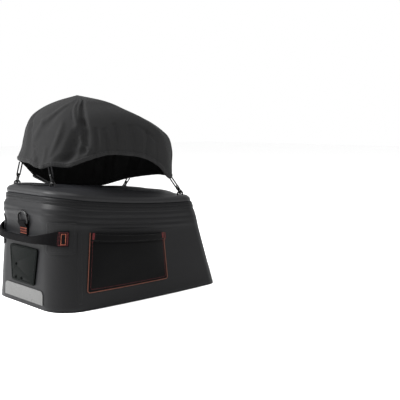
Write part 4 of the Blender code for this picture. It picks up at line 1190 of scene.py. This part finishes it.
for side, label in ((-1, "near"), (1, "far")):
    rows, middle, half = patch_rows(side, GAP + PATCH_THICKNESS * 0.75, GAP + PATCH_THICKNESS)
    patch = grid_piece("corner_patch_" + label, rows, COATED)
    thicken(patch, PATCH_THICKNESS * 0.85, bevel=0.0002)
    seat(patch, "coated_fabric", "handle_patch_" + label)
    inset, out = 0.0042, GAP + PATCH_THICKNESS - 0.0002
    box = box_path(middle - half + inset, middle + half - inset, PATCH_CENTRE - 0.022, PATCH_CENTRE + 0.022)
    stitches = stitch("patch_stitches_" + label, [wall_path(box, out, side)], DARK, 0.0028, 0.0022, 0.0006)
    seat(stitches, "coated_fabric")


# %% [markdown]
# ## The grab handle
#
# One length of webbing crosses the rear. Its ends lie flat on the patches, and its middle is
# folded double round itself to a thick grip that stands off the wall and droops a little. The
# strap is lofted: a rounded rectangle is carried along it, and its height and thickness change
# from those of flat webbing to those of the grip.

# %% Handle
STRAP_WIDTH, STRAP_THICKNESS, STRAP_END = 0.025, 0.0022, 57.0
GRIP_HEIGHT, GRIP_THICKNESS, GRIP_STAND_OFF, GRIP_DROOP = 0.0115, 0.0058, 0.0105, 0.0050
StrapRow = namedtuple("StrapRow", "share stand grip droop")
STRAP = (StrapRow(0.00, 0.00, 0.00, 0.00), StrapRow(0.16, 0.00, 0.04, 0.00), StrapRow(0.30, 0.30, 0.48, 0.10),
         StrapRow(0.45, 0.72, 0.82, 0.50), StrapRow(0.60, 0.93, 0.98, 0.85), StrapRow(1.00, 1.00, 1.00, 1.00))


def smooth_value(rows, key, column, at):
    """Value of one column of a table along a smooth curve through its rows."""
    last = len(rows) - 1
    index = 0
    while index < last - 1 and at > getattr(rows[index + 1], key):
        index += 1
    low, high = rows[index], rows[index + 1]
    before, after = rows[max(index - 1, 0)], rows[min(index + 2, last)]
    span = getattr(high, key) - getattr(low, key)
    slope = lambda p, q: (getattr(q, column) - getattr(p, column)) / (getattr(q, key) - getattr(p, key)) * span
    t = min(max((at - getattr(low, key)) / span, 0.0), 1.0)
    return ((2 * t**3 - 3 * t**2 + 1) * getattr(low, column) + (t**3 - 2 * t**2 + t) * slope(before, high)
            + (3 * t**2 - 2 * t**3) * getattr(high, column) + (t**3 - t**2) * slope(low, after))


def rounded_section(tall, thick, corner, sides=6):
    """Rounded rectangle as (across, up) pairs, half sizes given."""
    spots = []
    for cx, cy, start in ((thick - corner, tall - corner, 0), (-thick + corner, tall - corner, 90),
                          (-thick + corner, -tall + corner, 180), (thick - corner, -tall + corner, 270)):
        for s in range(sides):
            a = math.radians(start + 90 * s / (sides - 1))
            spots.append((cx + corner * math.cos(a), cy + corner * math.sin(a)))
    return spots


def strap_sections(steps=44):
    end, made = corner_along(STRAP_END, PATCH_CENTRE), []
    for step in range(-steps, steps + 1):
        share = 1 - abs(step) / steps
        stand = GRIP_STAND_OFF * max(0.0, smooth_value(STRAP, "share", "stand", share))
        grip = smooth_value(STRAP, "share", "grip", share)
        droop = GRIP_DROOP * smooth_value(STRAP, "share", "droop", share)
        thickness = mix(STRAP_THICKNESS, GRIP_THICKNESS, grip)
        out = PATCH_THICKNESS + 2 * GAP + thickness / 2 + stand
        side, along = (-1 if step <= 0 else 1), end * abs(step) / steps
        centre = wall_point(along, PATCH_CENTRE, out, side) - Vector((0, 0, droop))
        edges = [wall_point(along, PATCH_CENTRE + r, out, side) for r in (-STRAP_WIDTH / 2, STRAP_WIDTH / 2)]
        tall = mix(STRAP_WIDTH, GRIP_HEIGHT, grip) / 2
        made.append((centre, (edges[1] - edges[0]).normalized(), tall, thickness / 2, grip))
    return made


sections = strap_sections()
strap_rows = []
for index, (centre, up, tall, thick, grip) in enumerate(sections):
    run = (sections[min(index + 1, len(sections) - 1)][0] - sections[max(index - 1, 0)][0]).normalized()
    across = run.cross(up).normalized()
    row = []
    for a, b in rounded_section(tall, thick, thick * 0.6):
        crease = 0.0011 * grip * bell((b - tall * 0.15) / 0.0022)
        row.append(centre + across * (a - math.copysign(crease, a)) + up * b)
    strap_rows.append(row)
handle = grid_piece("webbing_handle", strap_rows, WEBBING, wrap_columns=True)
close_ends(handle, len(strap_rows), len(strap_rows[0]))
seat(handle, "webbing", "grab_handle")

# %% [markdown]
# Each strap end is held by a box of red stitches with a smaller orange box in it, and a tack
# towards the grip. Only the orange box catches the light.

# %% Box stitches
STRAP_OUT = PATCH_THICKNESS + 2 * GAP + STRAP_THICKNESS - 0.0001


def box_on_corner(a0, a1, z0, z1):
    return box_path(corner_along(a0, PATCH_CENTRE), corner_along(a1, PATCH_CENTRE), z0, z1)


for side, label in ((-1, "near"), (1, "far")):
    low, high = PATCH_CENTRE - 0.0102, PATCH_CENTRE + 0.0102
    reds = [wall_path(box_on_corner(35.5, 55.5, low, high), STRAP_OUT, side)]
    for angle in (38.0, 40.4, 54.2):
        s = corner_along(angle, PATCH_CENTRE)
        reds.append(wall_path([(s, low), (s, high)], STRAP_OUT, side))
    small = box_on_corner(44.0, 51.5, PATCH_CENTRE - 0.0088, PATCH_CENTRE + 0.0078)
    oranges = [wall_path(small, STRAP_OUT, side)]
    seat(stitch("strap_box_" + label, reds, RED, 0.0020, 0.0018, 0.0009), "orange_piping")
    seat(stitch("strap_inner_box_" + label, oranges, ORANGE, 0.0019, 0.0018, 0.0010), "orange_piping")

# %% [markdown]
# ## Ring and tab
#
# The hard ring hangs in a short loop of webbing above the handle and can swing, so it rides on
# its own body. The tab is a strip folded over the ring's bar and sewn down with orange tacks. Its
# outline is lofted across its width, which keeps the loop round the bar open.

# %% Ring and tab shapes
RING_WIDTH, RING_HEIGHT, RING_WIRE, RING_REST = 0.0335, 0.0235, 0.0040, 3.0
TAB_WIDTH, TAB_LENGTH, TAB_WEBBING, TAB_CLEARANCE = 0.0235, 0.0215, 0.0013, 0.0004
RING_AXIS_HEIGHT = REAR_HEIGHT - 0.0595
AXIS = Vector((-0.17447, 0.0, RING_AXIS_HEIGHT))

lean = math.radians(RING_REST)
ring_up, ring_side = Vector((-math.sin(lean), 0, math.cos(lean))), Vector((0, 1, 0))
half_inner, corner = RING_WIDTH / 2 - RING_WIRE / 2, RING_WIRE * 0.9
rise = RING_HEIGHT - RING_WIRE - half_inner * 0.72
ring_path = []
for side in (1, -1):
    part = []
    for turn in (0, 15, 30, 45, 60, 75, 90):
        a = math.radians(turn)
        part.append(ring_side * side * (half_inner - corner + corner * math.sin(a))
                    + ring_up * (corner - corner * math.cos(a)))
    if side > 0:
        ring_path += part
        for step in range(0, 33):
            a = math.pi * step / 32
            ring_path.append(ring_side * half_inner * math.cos(a)
                             + ring_up * (rise + half_inner * 0.72 * math.sin(a)))
    else:
        ring_path += part[::-1]
ring_path += [ring_side * -(half_inner - corner) * s for s in (0.66, 0.33, 0.0, -0.33, -0.66)]
clean = [ring_path[0]]
for p in ring_path[1:]:
    if (p - clean[-1]).length > 0.0003:
        clean.append(p)
ring = tube_piece("ring_smooth", [AXIS + p for p in clean], RING_WIRE / 2, PLASTIC, 14,
                  ring_up.cross(ring_side), True)
seat(ring, "black_plastic", "d_ring", body="d_ring")

outside = RING_WIRE / 2 + TAB_CLEARANCE + TAB_WEBBING
foot, lower = RING_AXIS_HEIGHT - TAB_LENGTH, AXIS.z - outside - 0.0030
tab_centre = []
for step in range(9):
    z = mix(foot, lower, step / 8)
    tab_centre.append(Vector((wall_point(0.0, z, GAP + TAB_WEBBING * 1.5).x - 0.0001, 0, z)))
middle = RING_WIRE / 2 + TAB_CLEARANCE + TAB_WEBBING / 2
front_leg = [AXIS + Vector((middle * math.cos(math.radians(a)), 0, middle * math.sin(math.radians(a))))
             for a in range(200, -21, -11)]
back_leg = []
for step in range(9):
    z = mix(lower, foot, step / 8)
    back_leg.append(Vector((wall_point(0.0, z, GAP + TAB_WEBBING / 2).x, 0, z)))
spine = smooth_path(tab_centre[:-1] + front_leg[1:-1] + back_leg[1:], 2)
tab_rows = []
for index, p in enumerate(spine):
    along = (spine[min(index + 1, len(spine) - 1)] - spine[max(index - 1, 0)]).normalized()
    out = along.cross(Vector((0, 1, 0))).normalized()
    tab_rows.append([p + Vector((0, b, 0)) + out * a
                     for a, b in rounded_section(TAB_WIDTH / 2, TAB_WEBBING / 2, TAB_WEBBING * 0.42)])
tab = grid_piece("ring_tab_webbing", tab_rows, WEBBING, wrap_columns=True)
close_ends(tab, len(tab_rows), len(tab_rows[0]))
seat(tab, "webbing", "ring_tab")


def rear_line(half, z, out, count=14):
    """Level line on the rear, as far to each side of the middle as half."""
    x = wall_point(0.0, z, out).x
    return [(Vector((x, mix(-half, half, s / count), z)), Vector((-1, 0, REAR_LEAN))) for s in range(count + 1)]


tab_out = GAP + 2 * TAB_WEBBING + 0.0001
for name, finish, width, rises in (("tab_tacks", ORANGE, 0.0011, (0.0035, 0.0078, 0.0120)),
                                   ("tab_red_tacks", RED, 0.0010, (0.0056, 0.0099, 0.0137))):
    lines = [rear_line(0.0095, foot + up, tab_out) for up in rises]
    seat(stitch(name, lines, finish, 0.0017, 0.0017, width), "orange_piping")

# %% [markdown]
# ## Plates cut from an outline
#
# The rubber panel and the corner hooks are flat plates with holes. A filled 2D curve is the
# natural tool: its outer spline is the outline, the inner splines are the holes, and the curve's
# own extrusion and bevel give the thickness with rounded edges. It is turned into a mesh before
# it is laid in place.

# %% Plate helper
def plate(name, outlines, thickness, bevel, origin, right, up, normal, finish):
    curve = bpy.data.curves.new(name, "CURVE")
    curve.dimensions, curve.fill_mode = "2D", "BOTH"
    curve.extrude, curve.bevel_depth, curve.bevel_resolution = thickness / 2 - bevel, bevel, 2
    curve.offset = -bevel
    for outline_points in outlines:
        spline = curve.splines.new("POLY")
        spline.points.add(len(outline_points) - 1)
        for target, (x, y) in zip(spline.points, outline_points):
            target.co = (x, y, 0.0, 1.0)
        spline.use_cyclic_u = True
    maker = link(name + "_curve", curve)
    mesh = evaluated_mesh(maker)
    bpy.data.objects.remove(maker, do_unlink=True)
    mesh.name = name
    with editing(mesh) as work:
        bmesh.ops.remove_doubles(work, verts=work.verts, dist=0.00002)
        bmesh.ops.recalc_face_normals(work, faces=work.faces)
    for v in mesh.vertices:
        v.co = origin + right * v.co.x + up * v.co.y + normal * v.co.z
    mesh.materials.clear()
    mesh.materials.append(finish.material)
    mesh.shade_smooth()
    mesh.set_sharp_from_angle(angle=math.radians(40))
    return link(name, mesh)


def circle(x, y, radius, count=24):
    return [(x + radius * math.cos(2 * math.pi * s / count), y + radius * math.sin(2 * math.pi * s / count))
            for s in range(count)]


def rounded_outline(half_low, half_high, height, corner, inset=0.0, steps=7):
    """Upright outline that widens upwards, with four round corners, from its lower edge at 0."""
    spots = []
    for cx, cy, start in ((half_high, height, 0), (-half_high, height, 90), (-half_low, 0, 180),
                          (half_low, 0, 270)):
        x, y = cx - math.copysign(corner, cx), (height - corner if cy else corner)
        for s in range(steps):
            a = math.radians(start + 90 * s / (steps - 1))
            spots.append((x + (corner - inset) * math.cos(a), y + (corner - inset) * math.sin(a)))
    return spots


# %% Rubber panel with three holes
PANEL_TOP, PANEL_BOTTOM, PANEL_THICKNESS, PANEL_ROUND = REAR_HEIGHT - 0.100, 0.036, 0.0028, 0.005
PANEL_HIGH, PANEL_LOW, PANEL_HOLE = 0.090 / 2, 0.074 / 2, 0.0042
rear_up = Vector((REAR_LEAN, 0, 1)).normalized()
rear_out = Vector((-1, 0, REAR_LEAN)).normalized()
rear_right = Vector((0, -1, 0))
panel_origin = Vector((rear_x(PANEL_BOTTOM), 0, PANEL_BOTTOM)) + rear_out * (GAP + PANEL_THICKNESS / 2)
panel_height = PANEL_TOP - PANEL_BOTTOM
low_z, high_z, hole_y = 0.11 * panel_height, 0.47 * panel_height, PANEL_LOW * 2 * 0.295
HOLES = ((hole_y, low_z), (hole_y, high_z), (hole_y * 0.17, low_z))
outlines = [rounded_outline(PANEL_LOW, PANEL_HIGH, panel_height, PANEL_ROUND)]
outlines += [circle(-y, z, PANEL_HOLE / 2) for y, z in HOLES]
panel_face = plate("rubber_panel", outlines, PANEL_THICKNESS, 0.0006, panel_origin, rear_right, rear_up,
                   rear_out, RUBBER)
seat(panel_face, "light_panel_rubber", "light_panel")
rim_line = rounded_outline(PANEL_LOW, PANEL_HIGH, panel_height, PANEL_ROUND, inset=0.0030)
rim_path = [panel_origin + rear_right * x + rear_up * y + rear_out * (PANEL_THICKNESS / 2 - 0.0001)
            for x, y in rim_line]
rim_dense = []
for first, second in zip(rim_path, rim_path[1:] + rim_path[:1]):
    count = max(1, int((second - first).length / 0.004))
    rim_dense += [first.lerp(second, s / count) for s in range(count)]
panel_rim = tube_piece("rubber_panel_rim", rim_dense, (0.0007, 0.0006), RUBBER, 8, rear_out, True)
seat(panel_rim, "light_panel_rubber")
cups = []
for y, z in HOLES:
    centre = panel_origin + rear_right * -y + rear_up * z + rear_out * (PANEL_THICKNESS / 2)
    lip = [centre + rear_right * a + rear_up * b for a, b in circle(0, 0, PANEL_HOLE * 0.62, 20)]
    cups.append(tube_piece("cup", lip, 0.0005, RUBBER, 6, rear_out, True))
seat(join("panel_hole_rims", cups), "light_panel_rubber")

# %% [markdown]
# ## Reflective strip
#
# A pale strip of reflective film is bonded low on the rear. It is a thin patch on the wall with
# round upper corners, and its small cells are in its finish.

# %% Strip
STRIP_LOW, STRIP_HEIGHT, STRIP_WIDTH, STRIP_THICKNESS, STRIP_ROUND = 0.0075, 0.0230, 0.124, 0.0009, 0.008
strip_rows = []
for r in range(25):
    z = STRIP_LOW + STRIP_HEIGHT * math.sin(math.pi / 2 * r / 24)
    over = max(z - (STRIP_LOW + STRIP_HEIGHT - STRIP_ROUND), 0.0) / STRIP_ROUND
    reach = STRIP_WIDTH / 2 - STRIP_ROUND * (1 - math.sqrt(max(1 - over * over, 0.0)))
    row = []
    for c in range(49):
        s = -reach * math.cos(math.pi * c / 48)
        row.append(wall_point(abs(s), z, GAP + STRIP_THICKNESS, 1 if s < 0 else -1))
    strip_rows.append(row)
strip = grid_piece("film_strip", strip_rows, FILM)
thicken(strip, STRIP_THICKNESS, bevel=0.0002)
seat(strip, "reflective_film", "reflector_strip")

# %% [markdown]
# The tub's side panels meet the rear in an upright welded seam just past each rear corner: a
# narrow raised ridge with a dark line beside it.

# %% Upright seams
WELT = ((-0.0040, -0.0002), (-0.0036, 0.00035), (-0.0015, 0.00050), (0.0015, 0.00050), (0.0036, 0.00035),
        (0.0040, -0.0002))
for side, label in ((-1, "near"), (1, "far")):
    rows = []
    for r in range(60):
        z = mix(0.012, 0.140, r / 59)
        middle = corner_along(76, z)
        fade = min(1.0, 6 * (r / 59), 6 * (1 - r / 59))
        row = [wall_point(middle + shift, z, lift * (fade if lift > 0 else 1), side) for shift, lift in WELT]
        rows.append(row[::-1] if side > 0 else row)
    welt = grid_piece("seam_" + label, rows, COATED)
    thicken(welt, 0.0004)
    seat(welt, "coated_fabric")


# %% [markdown]
# ## The stretch cover
#
# The cover is one piece of stretch cloth pulled over a load and hooked down at its corners, so
# its shape is set by what pulls it: long folds run from the crown to the corners, and short
# gathers stand along the elastic hem. It is a dome in polar form, an angle round the mouth and a
# level from hem to crown. Its outline is a short table, and each fold is one row of another: from
# one spot to another, with a width and a depth.

# %% Cover outline
COVER_LENGTH, COVER_WIDTH, COVER_MIDDLE, COVER_RISE = 0.290, 0.208, -0.021, 0.1550
COVER_TOP, COVER_SQUARENESS, COVER_WALL = REAR_HEIGHT + COVER_RISE, 2.5, 0.0016
HEM_HEIGHT, HEM_THICKNESS = 0.0068, 0.0042
CoverRow = namedtuple("CoverRow", "height rear front width")
COVER = (CoverRow(0.00, 0.990, 1.000, 0.930), CoverRow(0.14, 0.935, 0.985, 0.945),
         CoverRow(0.32, 0.895, 0.980, 0.940), CoverRow(0.50, 0.860, 0.925, 0.900),
         CoverRow(0.66, 0.805, 0.710, 0.785), CoverRow(0.80, 0.670, 0.390, 0.590),
         CoverRow(0.91, 0.490, 0.095, 0.390), CoverRow(1.00, 0.285, -0.285, 0.000))
HemRow = namedtuple("HemRow", "angle height")
HEM_LINE = tuple(HemRow(*row) for row in (
    (0, 0.084), (38, 0.021), (72, -0.078), (95, -0.060), (115, 0.080), (132, 0.237), (150, 0.310), (180, 0.299),
    (195, 0.244), (208, 0.271), (224, 0.262), (240, 0.328), (258, 0.385), (276, 0.344), (294, 0.226), (310, 0.084),
    (328, 0.071), (360, 0.084)))

# %% Fold table
Fold = namedtuple("Fold", "angle_a level_a angle_b level_b width depth")
FOLDS = tuple(Fold(*row) for row in (          # degrees and levels of both ends, mm wide, mm out (- in)
    (240, 0.94, 233, 0.54, 12, -8.5), (233, 0.56, 236, 0.10, 12, -7.5), (226, 0.95, 226, 0.52, 9, 3.0),
    (218, 0.94, 188, 0.60, 10, 3.0), (188, 0.60, 180, 0.26, 10, 2.2), (157, 0.90, 172, 0.50, 14, -5.0),
    (172, 0.50, 180, 0.06, 12, -4.2), (212, 0.84, 193, 0.52, 12, -2.0), (223, 0.74, 225, 0.56, 5, -2.0),
    (227, 0.38, 221, 0.08, 21, -9.0), (231, 0.12, 214, 0.04, 14, -5.0), (212, 0.55, 204, 0.14, 10, 2.5),
    (229, 0.34, 240, 0.09, 4.5, 3.2),
    (243, 0.42, 247, 0.00, 5.5, -2.8), (246, 0.36, 251, 0.00, 4, 1.2), (250, 0.40, 256, 0.00, 5.5, -3.0),
    (254, 0.32, 259, 0.00, 4, 1.2), (259, 0.46, 263, 0.00, 6.5, -3.9), (264, 0.36, 268, 0.00, 4.5, 1.8),
    (269, 0.44, 272, 0.00, 6.5, -3.8), (275, 0.36, 276, 0.00, 4.5, 1.7), (280, 0.40, 280, 0.02, 6.5, -3.2),
    (288, 0.22, 290, 0.00, 5, -1.0), (272, 0.46, 288, 0.30, 8, -1.8),
    (183, 0.18, 194, 0.00, 6, -2.4), (196, 0.22, 199, 0.00, 7, 2.0), (188, 0.12, 188, 0.00, 5, 1.6),
    (330, 0.50, 330, 0.04, 11, 2.4), (340, 0.46, 336, 0.02, 9, -2.6), (352, 0.60, 344, 0.06, 12, -2.0),
    (8, 0.50, 26, 0.04, 11, -3.0), (22, 0.62, 40, 0.06, 11, 2.8), (46, 0.66, 52, 0.06, 10, -3.2),
    (60, 0.52, 64, 0.02, 8, 2.2), (68, 0.48, 72, 0.02, 8, -2.6), (80, 0.44, 82, 0.02, 8, 2.0),
    (90, 0.48, 90, 0.02, 8, -2.6), (101, 0.46, 99, 0.02, 8, 2.0), (112, 0.52, 110, 0.04, 9, -2.8),
    (128, 0.88, 134, 0.40, 12, -3.6), (134, 0.42, 140, 0.06, 10, -3.2), (142, 0.70, 147, 0.06, 9, 3.2)))
MM_PER_DEGREE, MM_PER_LEVEL = 2.3, 130.0
SPANS = []
for fold in FOLDS:
    a = Vector((fold.angle_a * MM_PER_DEGREE, fold.level_a * MM_PER_LEVEL))
    b = Vector((fold.angle_b * MM_PER_DEGREE, fold.level_b * MM_PER_LEVEL))
    SPANS.append((a, b - a, (b - a).length_squared, fold.width, fold.depth / 1000))


def fold_push(angle, level):
    """Relief of all folds at a spot; each is deepest along its middle and runs out at its ends."""
    push = 0.0
    for a, run, length, width, depth in SPANS:
        for turn in (angle, angle - 360, angle + 360):
            x, y = turn * MM_PER_DEGREE - a.x, level * MM_PER_LEVEL - a.y
            if abs(x) > 110:
                continue
            t = (x * run.x + y * run.y) / length
            held = min(max(t, 0.0), 1.0)
            off = math.hypot(x - run.x * held, y - run.y * held) / width
            if off < 1:
                push += depth * bell(off) * (0.55 + 0.45 * bell((held - 0.5) * 1.6))
    return push


def cover_point(angle, level, out=0.0):
    half, turn, power = COVER_LENGTH / 2, math.radians(angle), 2 / COVER_SQUARENESS
    rear = COVER_MIDDLE - half * smooth_value(COVER, "height", "rear", level)
    front = COVER_MIDDLE + half * smooth_value(COVER, "height", "front", level)
    width = COVER_WIDTH / 2 * smooth_value(COVER, "height", "width", level)
    across = math.copysign(abs(math.cos(turn))**power, math.cos(turn))
    aside = math.copysign(abs(math.sin(turn))**power, math.sin(turn))
    push = fold_push(angle, level) * min(1.0, (1.0 - level) * 9) + out
    drift = slow_noise(math.cos(turn) * 0.16, math.sin(turn) * 0.16 + level * 0.11)
    push += 0.0012 * drift * min(1.0, level * 8) * min(1.0, (1 - level) * 9)
    low = REAR_HEIGHT + COVER_RISE * smooth_value(HEM_LINE, "angle", "height", angle % 360)
    return Vector(((rear + front) / 2 + ((front - rear) / 2 + push) * across, (width + push) * aside,
                   low + (COVER_TOP - low) * level))


# %% Build the cover
def arc_angles(count):
    """Angles that are evenly spaced along the mouth, as a superellipse bunches them at its sides."""
    fine = [cover_point(360 * s / 1440, 0.3) for s in range(1441)]
    lengths = [0.0]
    for p, q in zip(fine, fine[1:]):
        lengths.append(lengths[-1] + math.hypot(q.x - p.x, q.y - p.y))
    angles, index = [], 0
    for step in range(count):
        goal = lengths[-1] * step / count
        while lengths[index + 1] < goal:
            index += 1
        share = (goal - lengths[index]) / (lengths[index + 1] - lengths[index])
        angles.append(360 * (index + share) / 1440)
    return angles


ANGLES = arc_angles(340)
levels = [0.93 * (r / 84) for r in range(85)] + [0.945, 0.958, 0.97, 0.98, 0.988, 0.994, 0.998]
cover_rows = [[cover_point(angle, level) for angle in ANGLES] for level in levels]
cover = grid_piece("stretch_cover", cover_rows, KNIT, wrap_columns=True)
last = (len(levels) - 1) * len(ANGLES)
with editing(cover.data) as work:
    apex = work.verts.new((COVER_MIDDLE - COVER_LENGTH / 2 * COVER[-1].rear, 0, COVER_TOP))
    work.verts.ensure_lookup_table()
    for step in range(len(ANGLES)):
        face = work.faces.new((work.verts[last + step], work.verts[last + (step + 1) % len(ANGLES)], apex))
        face.smooth = True


def cover_pin(at, index):
    """The hem and crown are held, and the cloth between them is a little free."""
    row = index // len(ANGLES)
    return max(1 - ease(0, 7, row), ease(70, 90, row), 0.25)


puff(cover, cover_pin, 0.0022, 0.10, frames=10, stiffness=18.0)
thicken(cover, COVER_WALL)
seat(cover, "stretch_fabric", "cover_shell")

# %% [markdown]
# ## The elastic hem
#
# The hem is a soft elastic binding that gathers the cloth, so it is a thick flat tube with small
# ruffles along it. It follows the cover's lower edge and wraps it.

# %% Hem
hem_points = [cover_point(angle, 0.0, -COVER_WALL / 2) - Vector((0, 0, HEM_HEIGHT * 0.40)) for angle in ANGLES]
hem_dense = []
for first, second in zip(hem_points, hem_points[1:] + hem_points[:1]):
    hem_dense += [first, first.lerp(second, 0.5)]


def ruffle(share):
    pull = 1 + 0.07 * math.sin(share * 2 * math.pi * 168) + 0.05 * math.sin(share * 2 * math.pi * 61 + 1)
    return HEM_THICKNESS / 2 * pull, HEM_HEIGHT * 0.60 * (1 + 0.4 * (pull - 1))


hem_rows = tube_rows(hem_dense, ruffle, 12, Vector((0, 0, 1)), True)
hem = grid_piece("elastic_hem", hem_rows, HEM, wrap_columns=True, wrap_rows=True)
seat(hem, "hem_elastic", "cover_hem")
hem_line = []
for p in hem_dense[:-1]:
    outward = (p - Vector((COVER_MIDDLE, 0, p.z))).normalized()
    hem_line.append((p + Vector((0, 0, HEM_HEIGHT * 0.30)) + outward * HEM_THICKNESS * 0.52, outward))
seat(stitch("hem_stitches", [hem_line], DARK, 0.0032, 0.0024, 0.0007, closed=True), "hem_elastic")

# %% [markdown]
# ## Corner hooks
#
# At each corner an elastic loop leaves the hem, passes through the eye of a small moulded hook,
# and the hook catches a staple on the lid. The hook is a plate with an eye above and an open
# mouth below, so it is cut from an outline like the rubber panel. Loop and staple are tubes.

# %% Corner frames
Corner = namedtuple("Corner", "foot hem")
CORNERS = (
    Corner((-0.1368, 0.0841, 0.1949), (-0.1389, 0.0651, 0.2347)),
    Corner((-0.1497, -0.0558, 0.1999), (-0.1511, -0.0510, 0.2318)),
    Corner((0.1032, -0.0854, 0.1717), (0.1076, -0.0551, 0.2010)),
    Corner((0.1032, 0.0846, 0.1717), (0.0983, 0.0651, 0.1933)))
CLIP_LENGTH, CLIP_WIDTH, CLIP_THICKNESS = 0.0210, 0.0094, 0.0024
ANCHOR_WIDTH, ANCHOR_HEIGHT, ANCHOR_WIRE = 0.0105, 0.0066, 0.0028
STEEP = 0.93


def arc(y, radius, start, end, count=18):
    """Points of an arc about (0, y), from one angle in degrees to another."""
    turns = [math.radians(mix(start, end, s / count)) for s in range(count + 1)]
    return [(radius * math.cos(t), y + radius * math.sin(t)) for t in turns]


def hook_outline():
    """Outline of the hook in the plane of the plate, with its mouth's centre at 0."""
    eye_at, big, small = CLIP_LENGTH - CLIP_WIDTH, CLIP_WIDTH / 2, 0.0023
    outer = arc(eye_at, big * 0.92, -28, 208) + [(-big * 0.74, eye_at * 0.5)]
    outer += arc(0, big, 152, 354) + arc(0, small, -8, -318)
    outer += arc(0, big, 42, 34)[-1:] + [(big * 0.80, big * 0.70), (big * 0.74, eye_at * 0.5)]
    return [outer, circle(0, eye_at, 0.0025, 20)]


for number, corner_row in enumerate(CORNERS, start=1):
    foot = Vector(corner_row.foot)
    bar, hem_spot = foot + Vector((0, 0, ANCHOR_HEIGHT)), Vector(corner_row.hem)
    along = (hem_spot - bar).normalized()
    sideways = Vector((0, 0, 1))
    if abs(along.z) > STEEP:
        sideways = Vector((foot.x - LID_MIDDLE, foot.y, 0)).normalized()
    flat = along.cross(sideways).normalized()
    across = flat.cross(along).normalized()
    normal = across.cross(along).normalized()
    hook = plate("hook_%d" % number, hook_outline(), CLIP_THICKNESS, 0.0005, bar, across, along, normal, PLASTIC)
    seat(hook, "black_plastic", "corner_clip_%d" % number)

    level = Vector((flat.x, flat.y, 0)).normalized()
    half, radius = ANCHOR_WIDTH / 2, ANCHOR_HEIGHT * 0.5
    floor_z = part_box("lid_anchor_%d" % number)[0][2]
    arc_points = []
    for side in (1, -1):
        part = [foot + level * side * half + Vector((0, 0, floor_z - foot.z + 0.0006))]
        part += [foot + level * side * (half - radius + radius * math.cos(math.radians(t)))
                 + Vector((0, 0, ANCHOR_HEIGHT - radius + radius * math.sin(math.radians(t))))
                 for t in range(0, 91, 15)]
        arc_points += part if side > 0 else part[::-1]
    staple = tube_piece("staple_%d" % number, arc_points, ANCHOR_WIRE / 2, PLASTIC, 12,
                        Vector((-level.y, level.x, 0)))
    seat(staple, "black_plastic", "lid_anchor_%d" % number)

    eye = bar + along * (CLIP_LENGTH - CLIP_WIDTH)
    reach = CLIP_THICKNESS / 2 + CORD_DIAMETER / 2 + 0.0004
    top_z = hem_spot.z + 0.0010
    loop_path = []
    for side in (1, -1):
        start = eye + flat * side * reach
        leg = [start + along * ((top_z - start.z) / along.z) * s for s in (1.0, 0.8, 0.6, 0.4, 0.2, 0.08)]
        loop_path += leg if side > 0 else leg[::-1]
        if side > 0:
            for t in range(0, 181, 15):
                a = math.radians(t)
                loop_path.append(eye + flat * reach * math.cos(a)
                                 + along * (reach - CORD_DIAMETER / 4 - reach * math.sin(a)))
    elastic = tube_piece("elastic_loop_%d" % number, loop_path, CORD_DIAMETER / 2, ELASTIC, 10, across)
    seat(elastic, "elastic_cord", "corner_loop_%d" % number)
